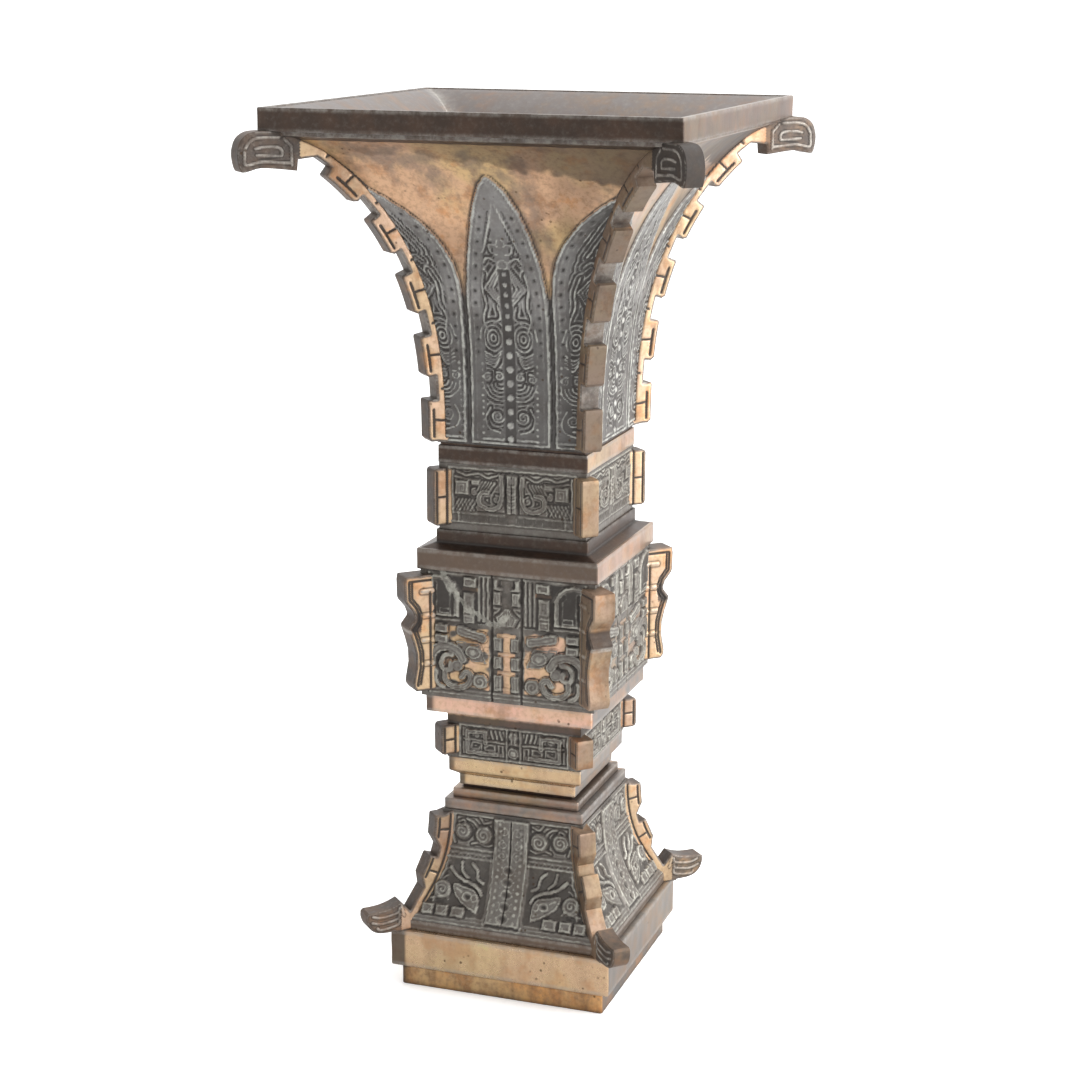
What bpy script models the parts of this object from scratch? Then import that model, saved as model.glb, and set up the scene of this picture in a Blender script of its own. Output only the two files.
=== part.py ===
"""Square beaker vase (fang gu) in cast bronze, built standing on its foot.

Origin: the centre of the foot's underside. +Z is up, and the four faces look along
+X, -X, +Y and -Y. The vase is one casting: a square vessel drawn up as a stack of
courses, corner flanges cut into teeth and curled ends, and raised leaf blades and
mask forms on each face. All sizes are in metres.
"""

import math

import bmesh
import bpy
from mathutils import Matrix, Vector

# Courses of the stack from the floor up: height and half width of each
STEP_HEIGHT = 0.0110
STEP_HALF = 0.0506
BLOCK_HEIGHT = 0.0182
BLOCK_HALF = 0.0547
COVE_HEIGHT = 0.0048
COVE_HALF = 0.0519
FOOT_HEIGHT = 0.0523
FOOT_BASE_HALF = 0.0513
FOOT_TOP_HALF = 0.0353
FOOT_SWEEP = 2.3
FOOT_CAP_HEIGHT = 0.0052
FOOT_CAP_HALF = 0.0347
COLLAR_HEIGHT = 0.0044
COLLAR_HALF = 0.0316
WAIST_HEIGHT = 0.0015
WAIST_HALF = 0.0278
TIER_HEIGHT = 0.0051
TIER_HALF = 0.0291
LOW_SLOPE_HEIGHT = 0.0028
LOW_LEDGE_HEIGHT = 0.0068
LOW_LEDGE_HALF = 0.0331
LOW_BAND_HEIGHT = 0.0242
LOW_BAND_HALF = 0.0333
UNDER_LEDGE_HEIGHT = 0.0083
UNDER_LEDGE_HALF = 0.0411
MASK_HEIGHT = 0.0613
MASK_HALF = 0.0426
OVER_LEDGE_HEIGHT = 0.0099
OVER_LEDGE_HALF = 0.0441
PLINTH_SLOPE_HEIGHT = 0.0019
PLINTH_HEIGHT = 0.0063
PLINTH_HALF = 0.0370
NECK_BAND_HEIGHT = 0.0312
NECK_BAND_HALF = 0.0358
NECK_LEDGE_HEIGHT = 0.0084
NECK_LEDGE_HALF = 0.0362
GROOVE_HEIGHT = 0.0012
GROOVE_HALF = 0.0354
TRUMPET_HEIGHT = 0.1409
TRUMPET_NECK_HALF = 0.0362
TRUMPET_TOP_HALF = 0.0902
TRUMPET_RISE_POWER = 2.56
TRUMPET_ROUND_POWER = 1.43
BEAD_HEIGHT = 0.0019
BEAD_HALF = 0.0915
RIM_HEIGHT = 0.0102
RIM_HALF = 0.0950
TRUMPET_RINGS = 13
FOOT_RINGS = 8

# Walls of the hollow
WALL = 0.0046
RIM_LIP = 0.0024
FLOOR_THICKNESS = 0.0050
CAVITY_SHOULDER = 0.0070

# Raised work
LEAF_RISE = 0.0012
MASK_RISE = 0.0012
BAND_RISE = 0.0010
FOOT_RISE = 0.0012
ROOT_DEPTH = 0.0016

# Corner flanges
TRUMPET_FLANGE_THICKNESS = 0.0095
NECK_FLANGE_THICKNESS = 0.0090
MASK_FLANGE_THICKNESS = 0.0110
LOW_FLANGE_THICKNESS = 0.0090
FOOT_FLANGE_THICKNESS = 0.0090
FLANGE_ROOT = 0.0058
TOOTH_REACH = 0.0062
TOOTH_FLOOR = 0.0014
TOOTH_LENGTH = 0.0196
TOOTH_GAP = 0.0109
TOOTH_START = 0.0012
TOOTH_CHAMFER = 0.0014
TRUMPET_TEETH = 5
CURL_OVERHANG = 0.0074
CURL_LENGTH = 0.0190
CURL_DROP = 0.0173
RIM_SEAT = 0.0003

FOOT_TOOTH_REACH = 0.0053
FOOT_TOOTH_FLOOR = 0.0015
FOOT_TOOTH_LENGTH = 0.0120
FOOT_TOOTH_SLANT = 0.0045
FOOT_TOOTH_GAP = 0.0050
FOOT_TOOTH_START = 0.0020
FOOT_TEETH = 2
FOOT_CURL_HEEL = 0.0006
FOOT_CURL_LENGTH = 0.0126
FOOT_CURL_HEIGHT = 0.0146

MASK_FLANGE_REACH = 0.0072
MASK_FLANGE_TOP_GAP = 0.0023
MASK_FLANGE_FOOT_GAP = 0.0034
NECK_FLANGE_REACH = 0.0032
NECK_FLANGE_GAP = 0.0022
LOW_FLANGE_REACH = 0.0035
LOW_FLANGE_TOP_GAP = 0.0073
LOW_FLANGE_FOOT_GAP = 0.0022
FLANGE_SEAT = 0.0006

# Leaf blades on the trumpet
LEAF_HALF_WIDTH = 0.0192
LEAF_TOP_GAP = 0.0162
LEAF_POINT_LENGTH = 0.0580
LEAF_FOOT_GAP = 0.0010
LEAF_LANE = 0.0021
CORNER_LEAF_TOP_GAP = 0.0190
CORNER_LEAF_SPREAD_FROM = 0.0590
CORNER_LEAF_POWER = 2.8
LEAF_RINGS = 9

# Panel layout
MASK_MARGIN = 0.0030
MASK_SIDE_MARGIN = 0.0072
BAND_SIDE_MARGIN = 0.0060
BAND_EDGE = 0.10
FOOT_CENTRE_HALF_WIDTH = 0.0072

BRONZE_COLOUR = (0.42, 0.31, 0.22, 1.0)
BRONZE_ROUGHNESS = 0.45
BRONZE_METALLIC = 0.9

FACES = 4
SLOPE_PROBE = 0.0002
DIAGONAL = math.sqrt(2.0)

# Levels where each course begins, added up from the floor
Z_BLOCK = STEP_HEIGHT
Z_COVE = Z_BLOCK + BLOCK_HEIGHT
Z_FOOT = Z_COVE + COVE_HEIGHT
Z_FOOT_CAP = Z_FOOT + FOOT_HEIGHT
Z_COLLAR = Z_FOOT_CAP + FOOT_CAP_HEIGHT
Z_WAIST = Z_COLLAR + COLLAR_HEIGHT
Z_TIER = Z_WAIST + WAIST_HEIGHT
Z_LOW_SLOPE = Z_TIER + TIER_HEIGHT
Z_LOW_LEDGE = Z_LOW_SLOPE + LOW_SLOPE_HEIGHT
Z_LOW_BAND = Z_LOW_LEDGE + LOW_LEDGE_HEIGHT
Z_UNDER_LEDGE = Z_LOW_BAND + LOW_BAND_HEIGHT
Z_MASK = Z_UNDER_LEDGE + UNDER_LEDGE_HEIGHT
Z_OVER_LEDGE = Z_MASK + MASK_HEIGHT
Z_PLINTH_SLOPE = Z_OVER_LEDGE + OVER_LEDGE_HEIGHT
Z_PLINTH = Z_PLINTH_SLOPE + PLINTH_SLOPE_HEIGHT
Z_NECK_BAND = Z_PLINTH + PLINTH_HEIGHT
Z_NECK_LEDGE = Z_NECK_BAND + NECK_BAND_HEIGHT
Z_GROOVE = Z_NECK_LEDGE + NECK_LEDGE_HEIGHT
Z_TRUMPET = Z_GROOVE + GROOVE_HEIGHT
Z_BEAD = Z_TRUMPET + TRUMPET_HEIGHT
Z_RIM = Z_BEAD + BEAD_HEIGHT
Z_TOP = Z_RIM + RIM_HEIGHT


def flare(share):
    """Share of the full spread reached at a share of the flare's height."""
    share = min(max(share, 0.0), 1.0)
    return 1.0 - (1.0 - share ** TRUMPET_RISE_POWER) ** (1.0 / TRUMPET_ROUND_POWER)


def trumpet_half(z):
    """Half width of the trumpet's outside at a height."""
    spread = TRUMPET_TOP_HALF - TRUMPET_NECK_HALF
    return TRUMPET_NECK_HALF + spread * flare((z - Z_TRUMPET) / TRUMPET_HEIGHT)


def foot_half(z):
    """Half width of the sweeping foot panel at a height."""
    share = min(max((Z_FOOT_CAP - z) / FOOT_HEIGHT, 0.0), 1.0)
    return FOOT_TOP_HALF + (FOOT_BASE_HALF - FOOT_TOP_HALF) * share ** FOOT_SWEEP


def trumpet_inside_half(z):
    """Half width of the mouth's hollow, which opens right out to the rim's lip."""
    neck = TRUMPET_NECK_HALF - WALL
    spread = RIM_HALF - RIM_LIP - neck
    return neck + spread * flare((z - Z_TRUMPET) / (Z_TOP - Z_TRUMPET))


def eased(count):
    """Shares from 0 to 1, closer together towards 1, where a flare bends most."""
    return [math.sin(0.5 * math.pi * i / count) for i in range(count + 1)]


def outside_profile():
    """Half width and height of each ring of the outside, from the floor to the rim."""
    rings = [(STEP_HALF, 0.0), (STEP_HALF, Z_BLOCK)]
    rings += [(BLOCK_HALF, Z_BLOCK), (BLOCK_HALF, Z_COVE)]
    rings += [(COVE_HALF, Z_COVE), (COVE_HALF, Z_FOOT)]
    for share in reversed(eased(FOOT_RINGS)):
        z = Z_FOOT_CAP - FOOT_HEIGHT * share
        rings.append((foot_half(z), z))
    rings += [(FOOT_CAP_HALF, Z_FOOT_CAP), (FOOT_CAP_HALF, Z_COLLAR)]
    rings += [(COLLAR_HALF, Z_COLLAR), (COLLAR_HALF, Z_WAIST)]
    rings += [(WAIST_HALF, Z_WAIST), (WAIST_HALF, Z_TIER)]
    rings += [(TIER_HALF, Z_TIER), (TIER_HALF, Z_LOW_SLOPE)]
    rings += [(LOW_LEDGE_HALF, Z_LOW_LEDGE), (LOW_LEDGE_HALF, Z_LOW_BAND)]
    rings += [(LOW_BAND_HALF, Z_LOW_BAND), (LOW_BAND_HALF, Z_UNDER_LEDGE)]
    rings += [(UNDER_LEDGE_HALF, Z_UNDER_LEDGE), (UNDER_LEDGE_HALF, Z_MASK)]
    rings += [(MASK_HALF, Z_MASK), (MASK_HALF, Z_OVER_LEDGE)]
    rings += [(OVER_LEDGE_HALF, Z_OVER_LEDGE), (OVER_LEDGE_HALF, Z_PLINTH_SLOPE)]
    rings += [(PLINTH_HALF, Z_PLINTH), (PLINTH_HALF, Z_NECK_BAND)]
    rings += [(NECK_BAND_HALF, Z_NECK_BAND), (NECK_BAND_HALF, Z_NECK_LEDGE)]
    rings += [(NECK_LEDGE_HALF, Z_NECK_LEDGE), (NECK_LEDGE_HALF, Z_GROOVE)]
    rings += [(GROOVE_HALF, Z_GROOVE), (GROOVE_HALF, Z_TRUMPET)]
    for share in eased(TRUMPET_RINGS):
        z = Z_TRUMPET + TRUMPET_HEIGHT * share
        rings.append((trumpet_half(z), z))
    rings += [(BEAD_HALF, Z_BEAD), (BEAD_HALF, Z_RIM)]
    rings += [(RIM_HALF, Z_RIM), (RIM_HALF, Z_TOP)]
    return rings


def mouth_profile():
    """Rings of the upper hollow, from the rim's lip down to the floor of the vase."""
    rings = []
    for share in reversed(eased(TRUMPET_RINGS)):
        z = Z_TRUMPET + (Z_TOP - Z_TRUMPET) * share
        rings.append((trumpet_inside_half(z), z))
    neck = NECK_BAND_HALF - WALL
    chest = MASK_HALF - WALL
    belly = LOW_BAND_HALF - WALL
    rings.append((neck, Z_OVER_LEDGE + OVER_LEDGE_HEIGHT - WALL + CAVITY_SHOULDER))
    rings.append((chest, Z_OVER_LEDGE))
    rings.append((chest, Z_MASK + WALL))
    rings.append((belly, Z_UNDER_LEDGE))
    rings.append((belly, Z_LOW_BAND))
    rings.append((WAIST_HALF - WALL, Z_WAIST + FLOOR_THICKNESS))
    return rings


def foot_hollow_profile():
    """Rings of the hollow foot, from its ceiling down to the floor."""
    rings = [(WAIST_HALF - WALL, Z_WAIST)]
    rings.append((FOOT_CAP_HALF - WALL, Z_COLLAR - WALL))
    inside = min(STEP_HALF, COVE_HALF) - WALL
    count = FOOT_RINGS - 2
    for share in eased(count):
        z = Z_FOOT_CAP - FOOT_HEIGHT * share
        rings.append((min(foot_half(z) - WALL, inside), z))
    rings.append((inside, Z_COVE))
    rings.append((inside, 0.0))
    return rings


def add_ring(mesh, half, z):
    corners = [(-1, -1), (1, -1), (1, 1), (-1, 1)]
    return [mesh.verts.new((half * x, half * y, z)) for x, y in corners]


def vessel_mesh(mesh):
    """The square vessel: one skin from the foot's ceiling out, up and into the mouth."""
    profile = foot_hollow_profile() + outside_profile() + mouth_profile()
    rings = [add_ring(mesh, half, z) for half, z in profile]
    for below, above in zip(rings[:-1], rings[1:]):
        for i in range(FACES):
            j = (i + 1) % FACES
            mesh.faces.new((below[i], below[j], above[j], above[i]))
    mesh.faces.new(tuple(reversed(rings[0])))
    mesh.faces.new(tuple(rings[-1]))


def new_object(name, build):
    mesh = bmesh.new()
    build(mesh)
    bmesh.ops.recalc_face_normals(mesh, faces=mesh.faces)
    data = bpy.data.meshes.new(name)
    mesh.to_mesh(data)
    mesh.free()
    made = bpy.data.objects.new(name, data)
    bpy.context.scene.collection.objects.link(made)
    return made


def slab(mesh, near, far):
    """A closed slab between two loops of points that match one to one."""
    front = [mesh.verts.new(point) for point in near]
    back = [mesh.verts.new(point) for point in far]
    mesh.faces.new(front)
    mesh.faces.new(tuple(reversed(back)))
    for i in range(len(front)):
        j = (i + 1) % len(front)
        mesh.faces.new((front[j], front[i], back[i], back[j]))


def strip(mesh, left, right, lift, root, place):
    """A closed raised strip between two edges, given as points along a face."""
    rows = []
    for a, b in zip(left, right):
        top = [mesh.verts.new(place(a, lift)), mesh.verts.new(place(b, lift))]
        under = [mesh.verts.new(place(b, -root)), mesh.verts.new(place(a, -root))]
        rows.append(top + under)
    for low, high in zip(rows[:-1], rows[1:]):
        for i in range(4):
            j = (i + 1) % 4
            mesh.faces.new((low[i], low[j], high[j], high[i]))
    mesh.faces.new(tuple(reversed(rows[0])))
    mesh.faces.new(tuple(rows[-1]))


def ribbon(mesh, path, width, lift, root, place):
    """A raised band of even width along a path on a face."""
    left = []
    right = []
    for i, point in enumerate(path):
        before = Vector(path[max(i - 1, 0)])
        after = Vector(path[min(i + 1, len(path) - 1)])
        along = (after - before).normalized()
        across = Vector((-along.y, along.x)) * (0.5 * width)
        left.append(tuple(Vector(point) + across))
        right.append(tuple(Vector(point) - across))
    strip(mesh, left, right, lift, root, place)


def on_face(face, half_at):
    """A function that sets a point (across, height) on one face of the vessel."""
    turn = Matrix.Rotation(math.radians(90.0 * face), 4, 'Z')

    def place(point, lift):
        across, z = point
        lean = (half_at(z + SLOPE_PROBE) - half_at(z - SLOPE_PROBE)) / (2.0 * SLOPE_PROBE)
        out = lift / math.sqrt(1.0 + lean * lean)
        return turn @ Vector((across, -(half_at(z) + out), z - lean * out))

    return place


def on_corner(corner, thickness):
    """A function that sets a point (outward, height) on one side of a corner flange."""
    turn = Matrix.Rotation(math.radians(90.0 * corner + 45.0), 4, 'Z')

    def place(point, side):
        return turn @ Vector((point[0], 0.5 * thickness * side, point[1]))

    return place


def walk(half_at, start, end, steps=400):
    """Corner line of a swept course: arc length, outward distance and height."""
    line = []
    length = 0.0
    last = None
    for i in range(steps + 1):
        z = start + (end - start) * i / steps
        point = Vector((half_at(z) * DIAGONAL, z))
        if last is not None:
            length += (point - last).length
        line.append((length, point))
        last = point
    return line


def along(line, length):
    """Point and outward normal at a length along a corner line."""
    length = min(max(length, 0.0), line[-1][0])
    index = 1
    while index < len(line) - 1 and line[index][0] < length:
        index += 1
    start, low = line[index - 1]
    end, high = line[index]
    share = (length - start) / max(end - start, 1e-9)
    tangent = (high - low).normalized()
    outward = Vector((abs(tangent.y), -tangent.x if tangent.y > 0 else tangent.x))
    return low.lerp(high, share), outward


def buried(half_at, levels):
    """Root of a flange inside the wall, one point for each of the wall's own rings."""
    return [Vector((half_at(z) * DIAGONAL - FLANGE_ROOT, z)) for z in levels]


def tooth(line, start, length, reach, floor, chamfer):
    """Outline of one flange tooth: square at its far end, eased at its near end."""
    places = [(start, floor), (start, reach - chamfer), (start + chamfer, reach)]
    places += [(start + 0.5 * length, reach), (start + length, reach), (start + length, floor)]
    outline = []
    for at, offset in places:
        point, outward = along(line, at)
        outline.append(point + outward * offset)
    return outline


def hook(line, start):
    """Outline of one foot tooth: square on top, sloping back in below."""
    end = start + FOOT_TOOTH_LENGTH
    places = [(start, FOOT_TOOTH_FLOOR), (start, FOOT_TOOTH_REACH)]
    places += [(end, FOOT_TOOTH_REACH), (end + FOOT_TOOTH_SLANT, FOOT_TOOTH_FLOOR)]
    outline = []
    for at, offset in places:
        point, outward = along(line, at)
        outline.append(point + outward * offset)
    return outline


def curled(heel, low, length, height, spot):
    """A point of a curl, given as shares of the curl's own length and height."""
    out, up = spot
    return Vector(((heel + out * length) * DIAGONAL, low + up * height))


def trumpet_flange_outline():
    """Teeth up the trumpet's corner, ending in a beak that curls out under the rim."""
    line = walk(trumpet_half, Z_TRUMPET, Z_BEAD)
    outline = []
    for i in range(TRUMPET_TEETH):
        start = TOOTH_START + i * (TOOTH_LENGTH + TOOTH_GAP)
        outline += tooth(line, start, TOOTH_LENGTH, TOOTH_REACH, TOOTH_FLOOR, TOOTH_CHAMFER)
    tip = RIM_HALF + CURL_OVERHANG
    heel = tip - CURL_LENGTH
    low = Z_RIM + RIM_SEAT - CURL_DROP
    shape = [(-0.02, 0.28), (0.00, 0.00), (0.32, 0.06), (0.62, 0.09), (0.87, 0.00), (0.97, 0.12)]
    shape += [(1.00, 0.40), (0.98, 0.62), (0.91, 0.83), (0.78, 1.00), (0.17, 1.00)]
    outline += [curled(heel, low, CURL_LENGTH, CURL_DROP, spot) for spot in shape]
    levels = [Z_TRUMPET + TRUMPET_HEIGHT * share for share in eased(TRUMPET_RINGS)]
    return outline + buried(trumpet_half, reversed(levels[:-1]))


def foot_flange_outline():
    """Teeth down the foot's corner, ending in a horn that curls out over the block."""
    line = walk(foot_half, Z_FOOT_CAP, Z_FOOT)
    outline = []
    for i in range(FOOT_TEETH):
        start = FOOT_TOOTH_START + i * (FOOT_TOOTH_LENGTH + FOOT_TOOTH_SLANT + FOOT_TOOTH_GAP)
        outline += hook(line, start)
    heel = FOOT_BASE_HALF + FOOT_CURL_HEEL
    low = Z_COVE
    shape = [(-0.26, 0.64), (0.00, 1.00), (0.39, 0.84), (0.72, 0.79), (0.98, 0.775), (1.00, 0.52)]
    shape += [(0.92, 0.27), (0.75, 0.09), (0.52, 0.02)]
    outline += [curled(heel, low, FOOT_CURL_LENGTH, FOOT_CURL_HEIGHT, spot) for spot in shape]
    seat = low - FLANGE_SEAT
    outline.append(Vector(((heel + 0.175 * FOOT_CURL_LENGTH) * DIAGONAL, seat)))
    outline.append(Vector(((COVE_HALF - FLANGE_ROOT) * DIAGONAL, seat)))
    levels = [Z_FOOT_CAP - FOOT_HEIGHT * share for share in eased(FOOT_RINGS)]
    return outline + buried(foot_half, reversed(levels))


def mask_flange_outline():
    """Flange beside the mask: a square upper hook, a spur and a long lower bulge."""
    root = MASK_HALF * DIAGONAL - FLANGE_ROOT
    edge = MASK_HALF * DIAGONAL
    low = Z_MASK + MASK_FLANGE_FOOT_GAP
    top = Z_OVER_LEDGE - MASK_FLANGE_TOP_GAP
    tall = top - low
    reach = MASK_FLANGE_REACH * DIAGONAL
    shape = [(0.44, 0.00), (0.60, 0.055), (0.45, 0.22), (0.48, 0.33), (0.63, 0.44), (0.82, 0.55)]
    shape += [(0.50, 0.635), (0.58, 0.69), (0.95, 0.775), (1.00, 0.95), (0.94, 1.00)]
    outline = [(root, low)]
    outline += [(edge + reach * out, low + tall * up) for out, up in shape]
    outline.append((root, top))
    return outline


def neck_flange_outline():
    root = NECK_BAND_HALF * DIAGONAL - FLANGE_ROOT
    edge = (NECK_BAND_HALF + NECK_FLANGE_REACH) * DIAGONAL
    low = Z_NECK_BAND + NECK_FLANGE_GAP
    top = Z_NECK_LEDGE - NECK_FLANGE_GAP
    return [(root, low), (edge - TOOTH_CHAMFER, low), (edge, low + TOOTH_CHAMFER), (edge, top), (root, top)]


def low_flange_outline():
    root = LOW_BAND_HALF * DIAGONAL - FLANGE_ROOT
    edge = (LOW_BAND_HALF + LOW_FLANGE_REACH) * DIAGONAL
    low = Z_LOW_BAND + LOW_FLANGE_FOOT_GAP
    top = Z_UNDER_LEDGE - LOW_FLANGE_TOP_GAP
    bend = 1.2 * TOOTH_CHAMFER
    outline = [(root, low), (edge - bend, low), (edge, low + bend), (edge, top - TOOTH_CHAMFER)]
    return outline + [(edge - TOOTH_CHAMFER, top), (root, top)]


def flanges_mesh(mesh):
    """All corner flanges: five to a corner, each a flat plate set on the diagonal."""
    plates = [(trumpet_flange_outline(), TRUMPET_FLANGE_THICKNESS)]
    plates.append((neck_flange_outline(), NECK_FLANGE_THICKNESS))
    plates.append((mask_flange_outline(), MASK_FLANGE_THICKNESS))
    plates.append((low_flange_outline(), LOW_FLANGE_THICKNESS))
    plates.append((foot_flange_outline(), FOOT_FLANGE_THICKNESS))
    for corner in range(FACES):
        for outline, thickness in plates:
            place = on_corner(corner, thickness)
            slab(mesh, [place(point, 1) for point in outline], [place(point, -1) for point in outline])


def leaf_half_width(z):
    """Half width of the middle leaf blade, which draws in to a point."""
    share = min(max((Z_BEAD - LEAF_TOP_GAP - z) / LEAF_POINT_LENGTH, 0.0), 1.0)
    return LEAF_HALF_WIDTH * (1.0 - (1.0 - share) ** 1.5) ** 0.6


def corner_leaf_edge(z):
    """Distance from the face's centre line to the corner leaf's inner edge."""
    start = LEAF_HALF_WIDTH + LEAF_LANE
    top = Z_BEAD - CORNER_LEAF_TOP_GAP
    share = max((z - top + CORNER_LEAF_SPREAD_FROM) / CORNER_LEAF_SPREAD_FROM, 0.0)
    return start + (trumpet_half(top) - start) * share ** CORNER_LEAF_POWER


def leaf_levels(top_gap):
    low = Z_TRUMPET + LEAF_FOOT_GAP
    top = Z_BEAD - top_gap
    return [low + (top - low) * share for share in eased(LEAF_RINGS)]


def leaves_on_face(mesh, face):
    """One full leaf blade, and the two half blades that meet at the corners."""
    place = on_face(face, trumpet_half)
    levels = leaf_levels(LEAF_TOP_GAP)
    widths = [max(leaf_half_width(z), 0.0004) for z in levels]
    left = [(-width, z) for width, z in zip(widths, levels)]
    right = [(width, z) for width, z in zip(widths, levels)]
    strip(mesh, left, right, LEAF_RISE, ROOT_DEPTH, place)
    hidden = 0.30 * TRUMPET_FLANGE_THICKNESS
    levels = leaf_levels(CORNER_LEAF_TOP_GAP)
    for side in (-1, 1):
        inner = [(side * min(corner_leaf_edge(z), trumpet_half(z) - hidden - 0.0004), z) for z in levels]
        outer = [(side * (trumpet_half(z) - hidden), z) for z in levels]
        strip(mesh, inner, outer, LEAF_RISE, ROOT_DEPTH, place)


def raised(mesh, outline, lift, root, place):
    """A closed raised plate inside an outline on a face."""
    slab(mesh, [place(point, lift) for point in outline], [place(point, -root) for point in outline])


def box(left, low, right, high):
    return [(left, low), (right, low), (right, high), (left, high)]


def round_form(centre, radius, stretch, sides=8):
    """An even polygon; stretch turns a share of the width into one of the height."""
    points = []
    for i in range(sides):
        angle = 2.0 * math.pi * (i + 0.5) / sides
        points.append((centre[0] + radius * math.cos(angle), centre[1] + radius * stretch * math.sin(angle)))
    return points


def mask_on_face(mesh, face):
    """Main forms of the mask: nose, horns, brows, eyes, jaw and curls, in mirrored halves."""
    place = on_face(face, lambda z: MASK_HALF)
    low = Z_MASK + MASK_MARGIN
    tall = MASK_HEIGHT - 2.0 * MASK_MARGIN
    wide = MASK_HALF - MASK_SIDE_MARGIN
    plates = [box(0.062, 0.045, 0.175, 0.190), box(0.062, 0.253, 0.175, 0.367)]
    plates += [box(0.062, 0.416, 0.175, 0.524), box(0.073, 0.696, 0.175, 0.832)]
    plates += [box(0.096, 0.922, 0.175, 0.990), box(0.395, 0.924, 0.593, 0.990)]
    plates += [box(0.288, 0.660, 0.582, 0.877), box(0.797, 0.447, 0.960, 0.562)]
    horn = [(0.678, 0.66), (0.96, 0.66), (0.96, 0.99), (0.847, 0.99), (0.749, 0.967), (0.678, 0.895)]
    eye = [(0.282, 0.28), (0.395, 0.298), (0.551, 0.313), (0.695, 0.443), (0.537, 0.436), (0.35, 0.425)]
    plates += [horn, eye]
    curls = [([(0.322, 0.515), (0.621, 0.541)], 0.125)]
    curls.append(([(0.955, 0.371), (0.862, 0.385), (0.74, 0.36), (0.675, 0.291), (0.686, 0.219)], 0.090))
    curve = [(0.808, 0.28), (0.847, 0.204), (0.791, 0.121), (0.65, 0.085), (0.494, 0.092), (0.33, 0.154)]
    curls.append((curve, 0.062))
    for side in (-1, 1):
        for outline in plates:
            points = [(side * x * wide, low + z * tall) for x, z in outline]
            raised(mesh, points, MASK_RISE, ROOT_DEPTH, place)
        for path, width in curls:
            points = [(side * x * wide, low + z * tall) for x, z in path]
            ribbon(mesh, points, width * wide, MASK_RISE, ROOT_DEPTH, place)


def neck_on_face(mesh, face):
    """A low band of paired scrolls and square eyes about a middle ridge."""
    place = on_face(face, lambda z: NECK_BAND_HALF)
    wide = NECK_BAND_HALF - BAND_SIDE_MARGIN
    low = Z_NECK_BAND + BAND_EDGE * NECK_BAND_HEIGHT
    tall = (1.0 - 2.0 * BAND_EDGE) * NECK_BAND_HEIGHT
    ridge = [(x * wide, low + z * tall) for x, z in box(-0.07, 0.0, 0.07, 1.0)]
    raised(mesh, ridge, BAND_RISE, ROOT_DEPTH, place)
    scroll = [(0.20, 0.90), (0.20, 0.30), (0.32, 0.10), (0.52, 0.10), (0.55, 0.45), (0.38, 0.85)]
    horn = [(0.50, 0.92), (0.65, 0.42), (0.90, 0.10)]
    for side in (-1, 1):
        for path in (scroll, horn):
            points = [(side * x * wide, low + z * tall) for x, z in path]
            ribbon(mesh, points, 0.09 * tall, BAND_RISE, ROOT_DEPTH, place)
        points = [(side * x * wide, low + z * tall) for x, z in box(0.72, 0.52, 0.92, 0.90)]
        raised(mesh, points, BAND_RISE, ROOT_DEPTH, place)


def low_on_face(mesh, face):
    """A low band with two bosses in the middle and a framed scroll on either side."""
    place = on_face(face, lambda z: LOW_BAND_HALF)
    wide = LOW_BAND_HALF - BAND_SIDE_MARGIN
    low = Z_LOW_BAND + BAND_EDGE * LOW_BAND_HEIGHT
    tall = (1.0 - 3.0 * BAND_EDGE) * LOW_BAND_HEIGHT
    for height in (0.24, 0.68):
        boss = round_form((0.0, height), 0.10, wide / tall, 6)
        raised(mesh, [(x * wide, low + z * tall) for x, z in boss], BAND_RISE, ROOT_DEPTH, place)
    scroll = [(0.30, 0.15), (0.84, 0.15), (0.84, 0.80), (0.52, 0.80), (0.52, 0.48)]
    for side in (-1, 1):
        points = [(side * x * wide, low + z * tall) for x, z in scroll]
        ribbon(mesh, points, 0.11 * tall, BAND_RISE, ROOT_DEPTH, place)


def foot_on_face(mesh, face):
    """Main forms of the foot's mask: middle band, horns, leaf eyes, ears and clouds."""
    place = on_face(face, foot_half)

    def spot(across, up):
        z = Z_FOOT + up * FOOT_HEIGHT
        return (across * (foot_half(z) - BAND_SIDE_MARGIN), z)

    centre = [spot(0.0, share) for share in (0.05, 0.17, 0.32, 0.50, 0.72, 0.955)]
    ribbon(mesh, centre, 2.0 * FOOT_CENTRE_HALF_WIDTH, FOOT_RISE, ROOT_DEPTH, place)
    stretch = (FOOT_TOP_HALF - BAND_SIDE_MARGIN) / FOOT_HEIGHT
    eye = [(0.314, 0.115), (0.501, 0.163), (0.674, 0.239), (0.747, 0.31), (0.581, 0.300), (0.405, 0.265)]
    plates = [eye + [(0.326, 0.21)]]
    plates.append(round_form((0.862, 0.265), 0.095, stretch))
    plates.append(round_form((0.450, 0.832), 0.105, stretch, 6))
    plates.append(round_form((0.800, 0.860), 0.105, stretch, 6))
    plates.append(box(0.475, 0.061, 0.610, 0.134))
    plates.append(box(0.660, 0.061, 0.860, 0.150))
    curls = [([(0.34, 0.300), (0.454, 0.355), (0.638, 0.396), (0.804, 0.446), (0.92, 0.505)], 0.038)]
    curls.append(([(0.451, 0.412), (0.573, 0.520)], 0.030))
    curls.append(([(0.700, 0.468), (0.758, 0.520)], 0.030))
    curls.append(([(0.330, 0.612), (0.940, 0.612)], 0.052))
    for side in (-1, 1):
        for outline in plates:
            points = [spot(side * x, z) for x, z in outline]
            raised(mesh, points, FOOT_RISE, ROOT_DEPTH, place)
        for path, width in curls:
            points = [spot(side * x, z) for x, z in path]
            ribbon(mesh, points, width * FOOT_HEIGHT, FOOT_RISE, ROOT_DEPTH, place)


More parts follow.
